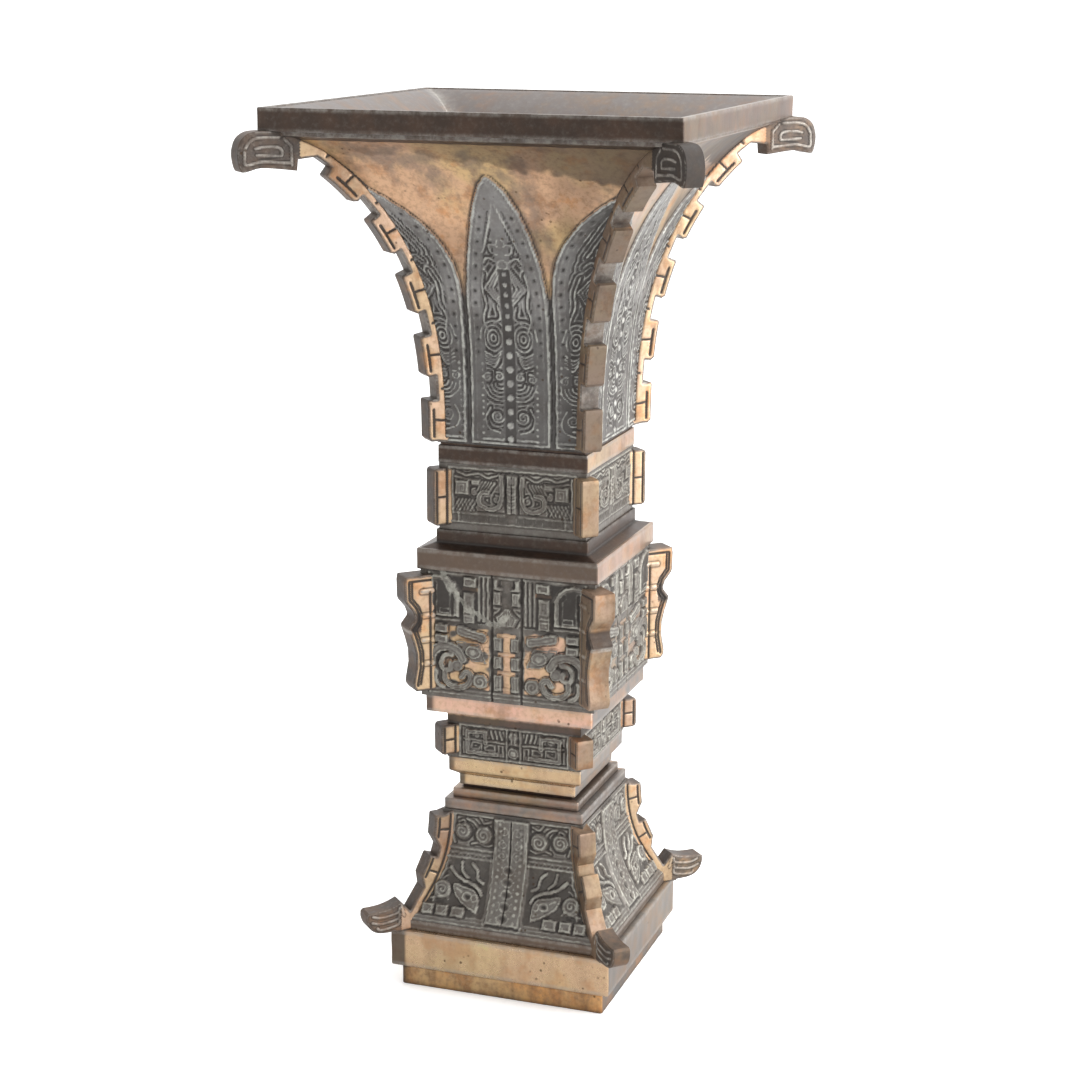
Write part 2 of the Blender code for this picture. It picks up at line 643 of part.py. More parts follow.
def relief_mesh(mesh):
    for face in range(FACES):
        leaves_on_face(mesh, face)
        neck_on_face(mesh, face)
        mask_on_face(mesh, face)
        low_on_face(mesh, face)
        foot_on_face(mesh, face)


def bronze_material():
    bronze = bpy.data.materials.new("bronze")
    bronze.use_nodes = True
    shader = bronze.node_tree.nodes["Principled BSDF"]
    shader.inputs["Base Color"].default_value = BRONZE_COLOUR
    shader.inputs["Roughness"].default_value = BRONZE_ROUGHNESS
    shader.inputs["Metallic"].default_value = BRONZE_METALLIC
    return bronze


def fuse(body, raised):
    """Join raised work to the body as one casting."""
    raised.hide_render = True
    raised.display_type = 'WIRE'
    union = body.modifiers.new(raised.name, 'BOOLEAN')
    union.operation = 'UNION'
    union.solver = 'EXACT'
    union.object = raised


def main():
    for stray in list(bpy.data.objects):
        bpy.data.objects.remove(stray, do_unlink=True)
    vase = new_object("gu_vase", vessel_mesh)
    vase.data.materials.append(bronze_material())
    fuse(vase, new_object("corner_flanges", flanges_mesh))
    fuse(vase, new_object("raised_relief", relief_mesh))


main()
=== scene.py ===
# %% [markdown]
# # A square bronze gu vase
# A gu is a tall beaker for wine. This one is square, with flanges down its four corners,
# leaf blades on the flared mouth and masks on the box and the foot. The packed CAD solid
# gives the size and the place of everything. The script dresses it course by course.

# %% Load the packed vase
import math

import bpy
import numpy as np
from mathutils import Matrix, Vector
from mathutils.geometry import delaunay_2d_cdt


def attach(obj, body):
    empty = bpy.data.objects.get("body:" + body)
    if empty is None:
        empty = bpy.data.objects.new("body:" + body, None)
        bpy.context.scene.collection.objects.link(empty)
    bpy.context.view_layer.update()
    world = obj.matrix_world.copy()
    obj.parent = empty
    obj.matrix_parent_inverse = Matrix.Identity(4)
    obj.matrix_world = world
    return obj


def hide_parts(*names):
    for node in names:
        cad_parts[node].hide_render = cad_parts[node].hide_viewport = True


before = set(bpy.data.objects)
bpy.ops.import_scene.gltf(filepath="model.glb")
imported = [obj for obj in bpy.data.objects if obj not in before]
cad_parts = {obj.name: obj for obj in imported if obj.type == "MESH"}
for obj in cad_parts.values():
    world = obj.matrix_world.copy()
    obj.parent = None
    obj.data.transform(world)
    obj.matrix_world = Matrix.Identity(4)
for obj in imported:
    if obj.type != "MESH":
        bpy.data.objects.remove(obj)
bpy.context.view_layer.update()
MM = 0.001

# %% [markdown]
# ## The stack of courses
# The vase was cast as a stack of courses: step, block, foot, waist, bands, box, neck and
# trumpet. Each course is named here with its lower and upper level and its half width, in
# millimetres, so that every later cell can be read against the real object.

# %% Levels and half widths in millimetres
STEP = (0.0, 11.0, 50.6)
BLOCK = (11.0, 29.2, 54.7)
COVE = (29.2, 34.0, 51.9)
FOOT = (34.0, 86.3)
FOOT_CAP = (86.3, 91.5, 34.7)
COLLAR = (91.5, 95.9, 31.6)
WAIST = (95.9, 97.4, 27.8)
TIER = (97.4, 102.5, 29.1)
LOW_LEDGE = (105.3, 112.1, 33.1)
LOW_BAND = (112.1, 136.3, 33.3)
UNDER_LEDGE = (136.3, 144.6, 41.1)
MASK = (144.6, 205.9, 42.6)
OVER_LEDGE = (205.9, 215.8, 44.1)
PLINTH = (217.7, 224.0, 37.0)
NECK_BAND = (224.0, 255.2, 35.8)
NECK_LEDGE = (255.2, 263.6, 36.2)
TRUMPET = (264.8, 405.7)
BEAD = (405.7, 407.6, 91.5)
RIM = (407.6, 417.8, 95.0)
WALL = 4.6
SKIN = 2.4  # metal behind the relief of a course
DIAGONAL = math.sqrt(2.0)  # a corner lies this much farther out than the face
print("height", RIM[1], "mm, rim", 2 * RIM[2], "mm square")


# %% [markdown]
# ## The two curved courses
# The mouth flares like a trumpet and the foot sweeps out like a bell. One formula for each
# gives the half width at any height, so walls, leaves and flanges share the same curve.

# %% Curves of the trumpet and the foot
TRUMPET_NECK, TRUMPET_SPREAD = 36.2, 54.0
MOUTH_NECK, MOUTH_SPREAD = 31.6, 61.0
FOOT_NECK, FOOT_SPREAD = 35.3, 16.0


def flare(share):
    """How far the trumpet has opened: zero at its neck, one at its lip."""
    return 1.0 - (1.0 - share ** 2.56) ** (1.0 / 1.43)


def trumpet_half(z):
    share = min(max((z - TRUMPET[0]) / (TRUMPET[1] - TRUMPET[0]), 0.0), 1.0)
    return TRUMPET_NECK + TRUMPET_SPREAD * flare(share)


def mouth_half(z):
    share = min(max((z - TRUMPET[0]) / (RIM[1] - TRUMPET[0]), 0.0), 1.0)
    return MOUTH_NECK + MOUTH_SPREAD * flare(share)


def foot_half(z):
    share = min(max((FOOT[1] - z) / (FOOT[1] - FOOT[0]), 0.0), 1.0)
    return FOOT_NECK + FOOT_SPREAD * share ** 2.3


def straight(half):
    """The same half width at every height, for the upright courses."""
    return lambda z: half


print("trumpet half width at the leaf's point", round(trumpet_half(389.5), 1), "mm")


# %% [markdown]
# ## Drawing helpers
# The relief is drawn the way a wax carver works: in millimetres, on a flat sheet as wide
# as the face. Distance to a drawn line tells how high the metal stands there. These
# helpers smooth a hand of points into a curve and wind round and square spirals.

# %% Curves, spirals and distances
def smooth(points, steps=7):
    """A soft curve through a few points."""
    pts = [points[0]] + list(points) + [points[-1]]
    path = []
    for a, b, c, d in zip(pts[:-3], pts[1:-2], pts[2:-1], pts[3:]):
        for i in range(steps):
            t = i / steps
            path.append(tuple(0.5 * (2 * b[k] + (c[k] - a[k]) * t
                                     + (2 * a[k] - 5 * b[k] + 4 * c[k] - d[k]) * t * t
                                     + (3 * b[k] - a[k] - 3 * c[k] + d[k]) * t ** 3) for k in (0, 1)))
    return path + [tuple(points[-1])]


def spiral(centre, radius, turns, start=0.0, way=1, tall=1.0):
    """A round spiral from its rim to its eye; start is in degrees."""
    count = max(int(turns * 14), 4)
    path = []
    for i in range(count + 1):
        t = i / count
        angle = math.radians(start) + way * t * turns * 2 * math.pi
        r = radius * (1 - 0.86 * t)
        path.append((centre[0] + r * math.cos(angle), centre[1] + tall * r * math.sin(angle)))
    return path


def ring(centre, radius, tall=1.0, sides=16):
    """A ring that ends where it starts; tall stretches it upwards."""
    steps = [2 * math.pi * i / sides for i in range(sides + 1)]
    return [(centre[0] + radius * math.cos(a), centre[1] + radius * tall * math.sin(a)) for a in steps]


def key(left, low, right, high, pitch, way=1):
    """A square spiral, the thunder scroll, wound inwards."""
    path = [(left if way > 0 else right, low)]
    x0, z0, x1, z1 = left, low, right, high
    for turn in range(6):
        if x1 - x0 < pitch * 0.8 or z1 - z0 < pitch * 0.8:
            break
        if way > 0:
            path += [(x0, z1), (x1, z1), (x1, z0), (x0 + pitch, z0)]
        else:
            path += [(x1, z1), (x0, z1), (x0, z0), (x1 - pitch, z0)]
        x0, z0 = x0 + pitch, z0 + pitch
        x1, z1 = x1 - pitch, z1 - pitch
        path.append((x0, z0) if way > 0 else (x1, z0))
    return path


def box(left, low, right, high):
    """The outline of an upright rectangle."""
    return [(left, low), (right, low), (right, high), (left, high)]


scroll = key(0, 0, 6, 6, 1.1)
print("a thunder scroll of 6 mm has", len(scroll), "points")


# %% [markdown]
# Distances are taken for a whole sheet at once with numpy. A line is raised where the
# distance is small, and a plate where a point lies inside its outline. The sum of a few
# sine waves gives the slow unevenness of a hand-made mould, and is the same every run.

# %% Distances and unevenness
def to_line(x, z, path):
    """Distance in millimetres from every point of a sheet to a drawn line."""
    best = np.full(x.shape, 1e6)
    for (ax, az), (bx, bz) in zip(path[:-1], path[1:]):
        ux, uz = bx - ax, bz - az
        length = max(ux * ux + uz * uz, 1e-9)
        t = np.clip(((x - ax) * ux + (z - az) * uz) / length, 0.0, 1.0)
        best = np.minimum(best, np.hypot(x - ax - t * ux, z - az - t * uz))
    return best


def to_edge(x, z, outline):
    """Distance to the edge of a closed outline, above zero inside it."""
    away = to_line(x, z, list(outline) + [outline[0]])
    within = np.zeros(x.shape, bool)
    for (ax, az), (bx, bz) in zip(outline, list(outline[1:]) + [outline[0]]):
        if az != bz:
            crosses = (az > z) != (bz > z)
            within ^= crosses & (x < ax + (z - az) * (bx - ax) / (bz - az))
    return np.where(within, away, -away)


def ease(t):
    """A soft step from zero to one while t goes from zero to one."""
    t = np.clip(t, 0.0, 1.0)
    return t * t * (3.0 - 2.0 * t)


def sway(x, z, scale, seed):
    """Slow uneven swelling of hand-made metal, from -1 to 1, the same every run."""
    total = np.zeros(np.shape(x))
    for i in range(5):
        angle = seed * 1.7 + i * 2.4
        phase = seed * 3.1 + i * 1.9
        wave = (x * math.cos(angle) + z * math.sin(angle)) * (1.0 + 0.37 * i) / scale
        total = total + np.sin(wave * 2 * math.pi + phase)
    return total / 5.0


samples = sway(np.linspace(0.0, 90.0, 200), np.zeros(200), 10.0, 31)
print("unevenness goes from", round(float(samples.min()), 2), "to", round(float(samples.max()), 2))


# %% [markdown]
# ## A sheet of relief
# Each face is a sheet that holds three things at every point: how high the metal stands,
# how bare it is from rubbing and from a painted sheen, and how much soil and painted shade
# darken it. Plates, bands, lines and beads are added one by one, mirrored left to right. A
# height field like this is quick to draw on, and still gives real relief that catches the
# light. The grid comes first: what is drawn on it wavers a little, because a hand cut the mould.

# %% The grid of a face
WAVER, TREMBLE = 0.26, 0.16


class Grid:
    """One face laid out flat; u is the distance of each point from the middle line."""

    def __init__(self, half_at, levels, columns):
        halves = np.array([half_at(z) for z in levels])
        self.half_at = half_at
        x = halves[:, None] * np.linspace(-1.0, 1.0, columns + 1)[None, :]
        z = np.repeat(np.array(levels)[:, None], columns + 1, axis=1)
        self.true_x, self.true_z = x, z
        self.x = x + WAVER * sway(x, z, 10.0, 31) + TREMBLE * sway(x, z, 4.3, 33)
        self.z = z + WAVER * sway(x, z, 9.0, 35) + TREMBLE * sway(x, z, 4.7, 37)
        self.u = np.abs(self.x)
        self.high = np.zeros(self.x.shape)
        self.rubbed = np.zeros(self.x.shape)
        self.soil = np.zeros(self.x.shape)
        self.near = np.full(self.x.shape, 50.0)

    def trace(self, path, reach=7.0):
        """Remember how near each point is to anything drawn, for the fine lines that follow it."""
        hit = self.spots(path, reach)
        self.near[hit] = np.minimum(self.near[hit], to_line(self.u[hit], self.z[hit], path))

    def spots(self, path, margin):
        """The points near a path, so that distances are only taken where they count."""
        xs = [p[0] for p in path]
        zs = [p[1] for p in path]
        hit = (self.u > min(xs) - margin) & (self.u < max(xs) + margin)
        return hit & (self.z > min(zs) - margin) & (self.z < max(zs) + margin)


print("a drawn line strays by up to", round(WAVER + TREMBLE, 2), "mm")


# %% [markdown]
# The next tools raise metal. A plate is filled, a band has an even width, a line is thin
# and a bead is round. Open ground between them is filled with echo, which repeats the
# drawn forms as fine parallel lines, the way such bronzes fill every empty space.

# %% Tools that raise metal
class Relief(Grid):
    """A grid with tools for plates, bands, lines, beads and filled ground."""

    def lift(self, hit, inside, rise, grooves, edge, depth=0.4):
        """Raise the metal inside a shape, with fine lines cut parallel to its edge."""
        body = ease(inside / edge + 0.35)
        top = np.maximum(self.high[hit], rise * body)
        for groove in grooves:
            top = top - depth * np.exp(-((inside - groove) / 0.30) ** 2) * (inside > 0)
        self.high[hit] = top

    def plate(self, outline, rise, grooves=(), edge=0.55):
        """A raised plate on both halves of the face."""
        hit = self.spots(outline, 1.0)
        inside = to_edge(self.u[hit], self.z[hit], outline)
        self.lift(hit, inside, rise, grooves, edge)
        self.trace(list(outline) + [outline[0]])

    def band(self, path, width, rise, grooves=(), edge=0.5):
        """A raised strip of even width along a path."""
        hit = self.spots(path, width)
        inside = 0.5 * width - to_line(self.u[hit], self.z[hit], path)
        self.lift(hit, inside, rise, grooves, edge)
        self.trace(path)

    def line(self, path, rise=0.4, width=0.75):
        """A thin cast line, standing on whatever is there, with soil along both its sides."""
        hit = self.spots(path, 2 * width)
        away = to_line(self.u[hit], self.z[hit], path)
        self.high[hit] += rise * np.exp(-(away / (0.62 * width)) ** 2)
        beside = np.exp(-((away - 0.5 - 0.6 * width) / 0.35) ** 2)
        self.soil[hit] = np.maximum(self.soil[hit], 0.55 * beside)
        self.trace(path)

    def bead(self, centre, radius, rise):
        """A round drop of metal."""
        away = np.hypot(self.u - centre[0], self.z - centre[1])
        self.high += rise * np.sqrt(np.clip(1.0 - (away / radius) ** 2, 0.0, 1.0))

    def echo(self, where, rise=0.32, pitch=1.85):
        """Fill open ground with fine lines that follow the drawn ones, ring after ring."""
        wave = np.cos(2.0 * math.pi * self.near / pitch) * where * (self.near < 6.5)
        self.high += rise * wave
        self.soil = np.maximum(self.soil, 0.8 * where * ease(-wave / 0.8))

    def ground(self, left, low, right, high, soft=0.5):
        """How far a point is open ground in a box: one where no form stands, zero on a form."""
        sideways = np.minimum(self.u - left, right - self.u)
        upwards = np.minimum(self.z - low, high - self.z)
        inside = np.minimum(sideways, upwards)
        return ease(inside / soft) * (1.0 - ease(np.abs(self.high) / 0.25))


print("relief tools:", ", ".join(name for name in vars(Relief) if not name.startswith("_")))


# %% [markdown]
# The last tools are for wear: metal is rubbed bare, soil is left, and the crests are found
# by comparing each point with the mean height round it.

# %% Tools for wear
class Sheet(Relief):
    """The full sheet that every course is drawn on."""

    def rub(self, outline, amount, soft=0.8):
        """Bare the metal inside an outline."""
        share = ease(to_edge(self.u, self.z, outline) / soft + 0.5)
        self.rubbed = self.rubbed * (1.0 - share) + amount * share

    def stain(self, outline, amount, soft=0.8):
        """Leave soil inside an outline."""
        share = ease(to_edge(self.u, self.z, outline) / soft + 0.5)
        self.soil = np.maximum(self.soil, amount * share)

    def crest(self, reach):
        """How far each point stands above the mean of its surroundings, reach points each way."""
        flat = self.high
        for axis in (0, 1):
            margins = [(reach, reach) if a == axis else (0, 0) for a in (0, 1)]
            padded = np.pad(flat, margins, mode='edge')
            summed = np.cumsum(padded, axis=axis)
            first = np.take(summed, range(2 * reach, summed.shape[axis]), axis=axis)
            size = first.shape[axis]
            before = np.take(summed, range(0, size - 1), axis=axis)
            zero = np.zeros_like(np.take(before, [0], axis=axis))
            flat = (first - np.concatenate([zero, before], axis=axis)) / (2 * reach + 1)
        return self.high - flat


print("wear tools:", ", ".join(name for name in vars(Sheet) if not name.startswith("_")))


# %% [markdown]
# ## From sheet to metal
# A course is closed metal, not a bent sheet of paper. The relief face is turned onto all
# four sides, and the mesh runs on behind it as an inner skin, so each course is a square
# ring with no open edge. Numpy places the points because a face has some twenty thousand.

# %% Meshes and closed rings
SHOWN = {}


def make_mesh(name, points, faces, marks, crisp=72):
    """A mesh with its marks stored on the points; edges sharper than crisp degrees stay sharp."""
    mesh = bpy.data.meshes.new(name)
    mesh.from_pydata([tuple(p) for p in points], [], faces)
    mesh.update()
    for mark, values in marks.items():
        layer = mesh.attributes.new(mark, 'FLOAT', 'POINT')
        layer.data.foreach_set("value", np.asarray(values, np.float32).ravel())
    piece = bpy.data.objects.new(name, mesh)
    bpy.context.scene.collection.objects.link(piece)
    mesh.polygons.foreach_set("use_smooth", [True] * len(mesh.polygons))
    mesh.set_sharp_from_angle(angle=math.radians(crisp))
    SHOWN[name] = piece
    print(name, sum(len(face) - 2 for face in faces), "triangles")
    return piece


def ring_faces(rows, columns, closed=True):
    """Quads between neighbouring loops of points; closed joins the last loop to the first."""
    grid = np.arange(rows * columns).reshape(rows, columns)
    if closed:
        grid = np.vstack([grid, grid[:1]])
    low, high = grid[:-1], grid[1:]
    quads = np.stack([low, np.roll(low, -1, 1), np.roll(high, -1, 1), high], -1)
    return quads.reshape(-1, 4).tolist()


def four_sides(across, out, up):
    """Turn one face's points onto all four sides of the square, as one loop per row."""
    sides = []
    for turn in range(4):
        x, y = across[:, :-1], -out[:, :-1]
        for quarter in range(turn):
            x, y = -y, x
        sides.append(np.stack([x, y, up[:, :-1]], -1))
    return np.concatenate(sides, axis=1)


def outer_skin(sheet, halves):
    """The relief of one face, pushed out square to its slope, on all four sides."""
    half_at = sheet.half_at
    lean = np.array([(half_at(z + 0.1) - half_at(z - 0.1)) / 0.2 for z in sheet.true_z[:, 0]])
    slant = np.sqrt(1.0 + lean ** 2)[:, None]
    high = sheet.high * clear_of_corner(sheet, halves)
    out = halves[:, None] + high / slant
    up = sheet.true_z - high * lean[:, None] / slant
    return four_sides(sheet.true_x, out, up)


def inner_skin(sheet, halves):
    """A few plain rows behind the relief, from top to bottom, that close the ring."""
    behind = np.unique(np.linspace(0, len(halves) - 1, 9).astype(int))[::-1]
    inner = halves[behind, None] - SKIN
    across = sheet.true_x[behind]
    return four_sides(across * inner / halves[behind, None], inner + 0 * across, sheet.true_z[behind])


def clear_of_corner(sheet, halves):
    """Zero at the corners and one elsewhere, so that neighbouring faces meet in a clean edge."""
    return ease((halves[:, None] - np.abs(sheet.true_x)) / 1.5)


print("the metal behind a course's relief is", SKIN, "mm thick")


# %% [markdown]
# A course also carries marks for its colour. Tops that stand above their surroundings
# count as crests and gather pale dust, and hollows are darkened, partly by soil and partly
# as painted shade. The right face is made less bare than the others, and the front has dust
# of its own and the painted shadow of the front right flange, so the four sides may differ
# in their marks, though never in their shape.

# %% A course of relief
BARE_SHARE_BY_SIDE = (1.0, 0.5, 1.0, 1.0)  # front, right, back, left


def side_marks(sheet, halves, rub_sides, front_dust, front_soil):
    """Crest, rubbed and soil for front, right, back and left."""
    broad = sheet.crest(7)
    crest = np.minimum(sheet.crest(2), 0.30) + 0.08 * ease(broad / 0.5)
    crest = crest * clear_of_corner(sheet, halves)
    # hollows are darkened: partly by the soil that lies in them, partly as painted shade
    hollow = 0.62 * ease(-broad / 0.40) * (1.0 - ease(sheet.rubbed / 0.5))
    soil = np.maximum(sheet.soil, hollow)
    return {"crest": [crest + front_dust] + [crest] * 3,
            "rubbed": [sheet.rubbed * side for side in rub_sides],
            "soil": [np.maximum(soil, front_soil)] + [soil] * 3}


def relief_course(name, sheet, rub_sides=BARE_SHARE_BY_SIDE, front_dust=0.0, front_soil=0.0):
    """Closed course of metal with the sheet's relief on all four faces."""
    halves = np.array([sheet.half_at(z) for z in sheet.true_z[:, 0]])
    grain = sway(sheet.true_x, sheet.true_z, 1.9, 41) * sway(sheet.true_x, sheet.true_z, 2.9, 43)
    sheet.high = sheet.high + 0.16 * grain * (1.0 - ease(sheet.rubbed / 0.6))
    front = outer_skin(sheet, halves)
    back = inner_skin(sheet, halves)
    rows = np.concatenate([front, back], axis=0)
    columns = rows.shape[1]
    plain = np.zeros((len(back), columns))
    marks = {}
    for mark, sides in side_marks(sheet, halves, rub_sides, front_dust, front_soil).items():
        whole = np.concatenate([value[:, :-1] for value in sides], axis=1)
        marks[mark] = np.concatenate([whole, plain], axis=0)
    return make_mesh(name, rows.reshape(-1, 3) * MM, ring_faces(len(rows), columns), marks)


def levels(start, end, spacing, curve=None):
    """Heights of the rows of a sheet; on a curve they follow its true length."""
    fine = np.linspace(start, end, 400)
    halves = np.array([curve(z) for z in fine]) if curve else np.zeros(400)
    length = np.concatenate([[0.0], np.cumsum(np.hypot(np.diff(fine), np.diff(halves)))])
    count = max(int(round(length[-1] / spacing)), 2)
    return np.interp(np.linspace(0.0, length[-1], count + 1), length, fine)


print("foot sheet has", len(levels(*FOOT, 0.5, foot_half)), "rows")


# %% [markdown]
# ## The mask on the box
# The middle box carries the taotie, a face made of separate raised parts: horns above,
# brows, round eyes beside a hooked nose, and curled jaws. On the real vase they were cut
# in the mould. Here each part is a plate or a line on the sheet, drawn for the right half
# and mirrored. The frame and the nose come first.

# %% Frame and nose of the mask
MASK_RISE = 1.2


def mask_frame(sheet):
    """Lines along the foot, the top and the side of the panel."""
    for z in (147.0, 148.9):
        sheet.line([(0, z), (38.5, z)], 0.45, 0.8)
    sheet.line([(0, 204.6), (38.5, 204.6)], 0.45, 0.8)
    sheet.line([(38.2, 147), (38.2, 204.6)], 0.45, 0.8)


def mask_nose(sheet):
    """Hooked blobs on both sides of a polished trunk, and a deep groove beside them."""
    for low, high in ((150.5, 158.4), (161.3, 167.4), (170.0, 176.6)):
        sheet.plate(box(2.4, low, 6.3, high), MASK_RISE, (1.0,))
    sheet.plate(box(2.8, 192.0, 6.5, 198.2), MASK_RISE, (1.0,))
    hook = [(1.6, 199.5), (4.2, 200.5), (4.2, 204.0), (6.4, 204.0), (6.4, 199.3), (3.6, 198.6)]
    sheet.plate(hook, MASK_RISE)
    bridge = [(0.0, 181.6), (3.4, 182.0), (5.2, 186.0), (3.0, 187.6), (1.4, 190.2), (0.0, 190.8)]
    sheet.plate(bridge, 0.9, (0.9,))
    for level in (151.5, 159.3, 168.3, 177.4):
        sheet.line([(0, level), (4.4, level), (4.6, level - 1.2)], 0.35)
    from_groove = sheet.u - 7.3
    hit = np.abs(from_groove) < 1.4
    sheet.high[hit] -= 0.8 * np.exp(-(from_groove[hit] / 0.55) ** 2)
    sheet.soil = np.maximum(sheet.soil, 0.9 * np.exp(-(from_groove / 0.6) ** 2))


print("mask plates stand", MASK_RISE, "mm proud")


# %% [markdown]
# Above the eyes stand the forehead scrolls and the horns, tall dark domes with a pale rim.
# Below the brows come the eyes in their sockets and an ear at each side.

# %% Forehead, horns, brows and eyes
def mask_horns(sheet):
    """Forehead scrolls, and the horns with their rim."""
    for x in (9.2, 11.3, 13.6):
        sheet.line([(x, 183.5), (x, 203.6)], 0.5, 0.9)
    sheet.plate(box(14.4, 199.0, 21.2, 203.9), MASK_RISE)
    sheet.line(key(15.2, 199.8, 20.4, 203.2, 1.25), 0.4, 0.6)
    sheet.plate(box(15.6, 181.8, 21.2, 196.6), MASK_RISE, (1.1,))
    sheet.line(key(16.8, 189.6, 20.2, 195.4, 1.3), 0.4, 0.6)
    sheet.line([(16.8, 187.6), (20.4, 187.6)], 0.4, 0.6)
    sheet.line([(16.8, 185.6), (20.4, 185.6)], 0.4, 0.6)
    horn = [(23.2, 184.2), (23.2, 196.0), (25.2, 200.2), (28.8, 203.2), (33.0, 204.2), (37.0, 203.4),
            (37.0, 184.2)]
    sheet.plate(horn, MASK_RISE + 0.2)
    rim = smooth([(22.8, 195.8), (25.0, 199.8), (28.6, 202.8), (33.0, 203.8), (36.8, 203.2), (39.0, 200.4)])
    sheet.line(rim, 0.55, 1.1)
    sheet.line([(26.4, 184.8), (26.4, 196.5), (28.2, 199.0)], -0.7, 0.9)
    sheet.line([(35.2, 184.8), (35.2, 199.5)], -0.7, 0.9)
    sheet.line([(28.4, 186.2), (32.6, 186.2), (32.6, 188.2), (28.4, 188.2)], 0.35, 0.6)
    sheet.line([(23.4, 182.6), (36.8, 182.6)], 0.5, 1.0)


def mask_eyes(sheet):
    """Brow, eye in its socket, and the two plates of the ear."""
    brow = smooth([(9.6, 174.6), (10.2, 177.4), (16.0, 178.6), (23.2, 180.4), (24.8, 178.4), (23.4, 175.8),
                   (16.0, 174.2), (11.0, 173.2), (9.6, 174.6)])
    sheet.plate(brow[:-1], MASK_RISE, (1.35,))
    socket = smooth([(9.6, 162.6), (13.0, 163.2), (17.0, 163.6), (20.6, 166.2), (24.8, 171.8), (24.0, 173.2),
                     (19.0, 172.6), (13.4, 172.2), (11.4, 168.0), (9.6, 162.6)])
    sheet.plate(socket[:-1], 0.9, (0.9,))
    pupil = (16.2, 168.2)
    sheet.plate(ring(pupil, 4.1, 0.80)[:-1], 1.7, (1.15,))
    sheet.bead(pupil, 1.7, 0.5)
    for low in (171.4, 176.4):
        sheet.plate(box(28.8, low, 35.6, low + 4.2), MASK_RISE)
        sheet.line(key(29.8, low + 0.8, 34.6, low + 3.5, 1.1, -1), 0.4, 0.6)


print("the horns reach up to", 204.2, "mm, just under the ledge at", OVER_LEDGE[0], "mm")


# %% [markdown]
# The jaw is one broad curl over the corner of the mouth and one rolled up under it. The
# ground round the eyes and the jaws was polished, so bare metal shows there, while the
# ground round the horns was left black. Plates that stand above the ground kept their
# patina.

# %% Jaws and wear of the mask
def mask_jaws(sheet):
    """The two curls of the jaw with the small forms round them."""
    over = smooth([(21.6, 164.4), (24.2, 168.2), (28.6, 169.8), (33.0, 169.2), (36.4, 166.2), (37.2, 161.5)])
    sheet.band(over, 4.6, MASK_RISE + 0.2, (1.1,))
    inner = smooth([(26.8, 166.0), (30.4, 165.4), (32.2, 162.0), (31.0, 158.4), (27.8, 158.8), (27.6, 161.8)])
    sheet.band(inner, 2.6, MASK_RISE, ())
    sheet.plate(ring((24.2, 161.0), 2.9, 1.0)[:-1], MASK_RISE, (1.1,))
    under = smooth([(30.4, 157.2), (30.2, 153.6), (27.4, 151.0), (23.2, 150.4), (19.2, 152.2), (17.4, 156.4),
                    (20.2, 158.0), (22.0, 155.6)])
    sheet.band(under, 3.0, MASK_RISE + 0.1, (0.9,))
    fang = (12.9, 154.4)
    sheet.plate(ring(fang, 4.0, 0.95)[:-1], MASK_RISE)
    sheet.line(spiral(fang, 3.6, 1.7, 200, -1), 0.5, 0.7)
    cloud = smooth([(31.0, 149.8), (33.8, 151.0), (35.4, 154.0), (35.0, 157.6)])
    sheet.band(cloud, 2.4, 1.0, ())
    sheet.line([(36.9, 150), (36.9, 160)], 0.4, 0.8)
    for z in (165.0, 169.0):
        sheet.line(key(8.4, z - 1.4, 10.4, z + 1.2, 0.9), 0.3, 0.5)


def mask_wear(sheet):
    """Polish on the ground of the cheeks and the trunk, soil round the horns."""
    cheek = ease((sheet.u - 8.2) / 0.8) * ease((sheet.z - 149.8) / 0.8) * ease((180.5 - sheet.z) / 2.0)
    patchy = ease(0.9 + 1.3 * sway(sheet.x, sheet.z, 15.0, 21) - ease((sheet.u - 29.0) / 4.0))
    sheet.rubbed = np.maximum(sheet.rubbed, 0.95 * cheek * patchy)
    trunk = [(149.6, 1.7, 178.5), (157.9, 4.4, 160.2), (167.2, 4.2, 169.2), (176.2, 4.6, 178.2)]
    for low, right, high in trunk:
        sheet.rub(box(-1, low, right, high), 0.95)
    sheet.rub([(14.0, 197.0), (14.0, 198.8), (21.6, 198.8), (22.4, 197.2)], 0.6)
    raised = ease((sheet.high - 0.35) / 0.4)
    sheet.rubbed *= 1.0 - 0.85 * raised
    inside_horn = [(24.8, 185.4), (24.8, 195.6), (26.6, 199.2), (29.6, 201.4), (33.0, 202.2),
                   (36.2, 201.6), (36.2, 185.4)]
    sheet.stain(inside_horn, 0.8, 1.2)
    black = sheet.ground(8.4, 181.0, 38.0, 204.0, 1.0)
    sheet.soil = np.maximum(sheet.soil, 0.85 * black)
    sheet.echo(sheet.ground(2.2, 181.0, 14.2, 204.0), 0.28)
    sheet.high += 0.10 * sway(sheet.x, sheet.z, 9.0, 3)


print("the cheeks are polished from", 149.8, "to", 180.5, "mm up")


# %% [markdown]
# The parts are drawn one after another on one sheet. On the front of the real vase a pale
# dribble has dried from the top left corner down to the nose. It has no thickness worth
# modelling, so it is only a mark, and the material shows it as dust.

# %% Build the mask box
def dribble_mark(sheet):
    """Pale dust along a path that runs down the front face."""
    path = smooth([(-33, 208), (-28, 199.4), (-22, 192), (-17, 187.6), (-12, 185.2), (-8, 182.2),
                   (-4, 182.6), (0, 186.4)])
    width = 1.15 + 0.35 * sway(sheet.x, sheet.z, 5.0, 9)
    return 0.975 * np.exp(-(to_line(sheet.x, sheet.z, path) / width) ** 2)


mask = Sheet(straight(MASK[2]), levels(MASK[0], MASK[1], 0.56), 160)
mask.rubbed[:] = 0.10
for draw in (mask_frame, mask_nose, mask_horns, mask_eyes, mask_jaws, mask_wear):
    draw(mask)
relief_course("mask_box", mask, (1.0, 0.45, 1.0, 1.0), dribble_mark(mask))

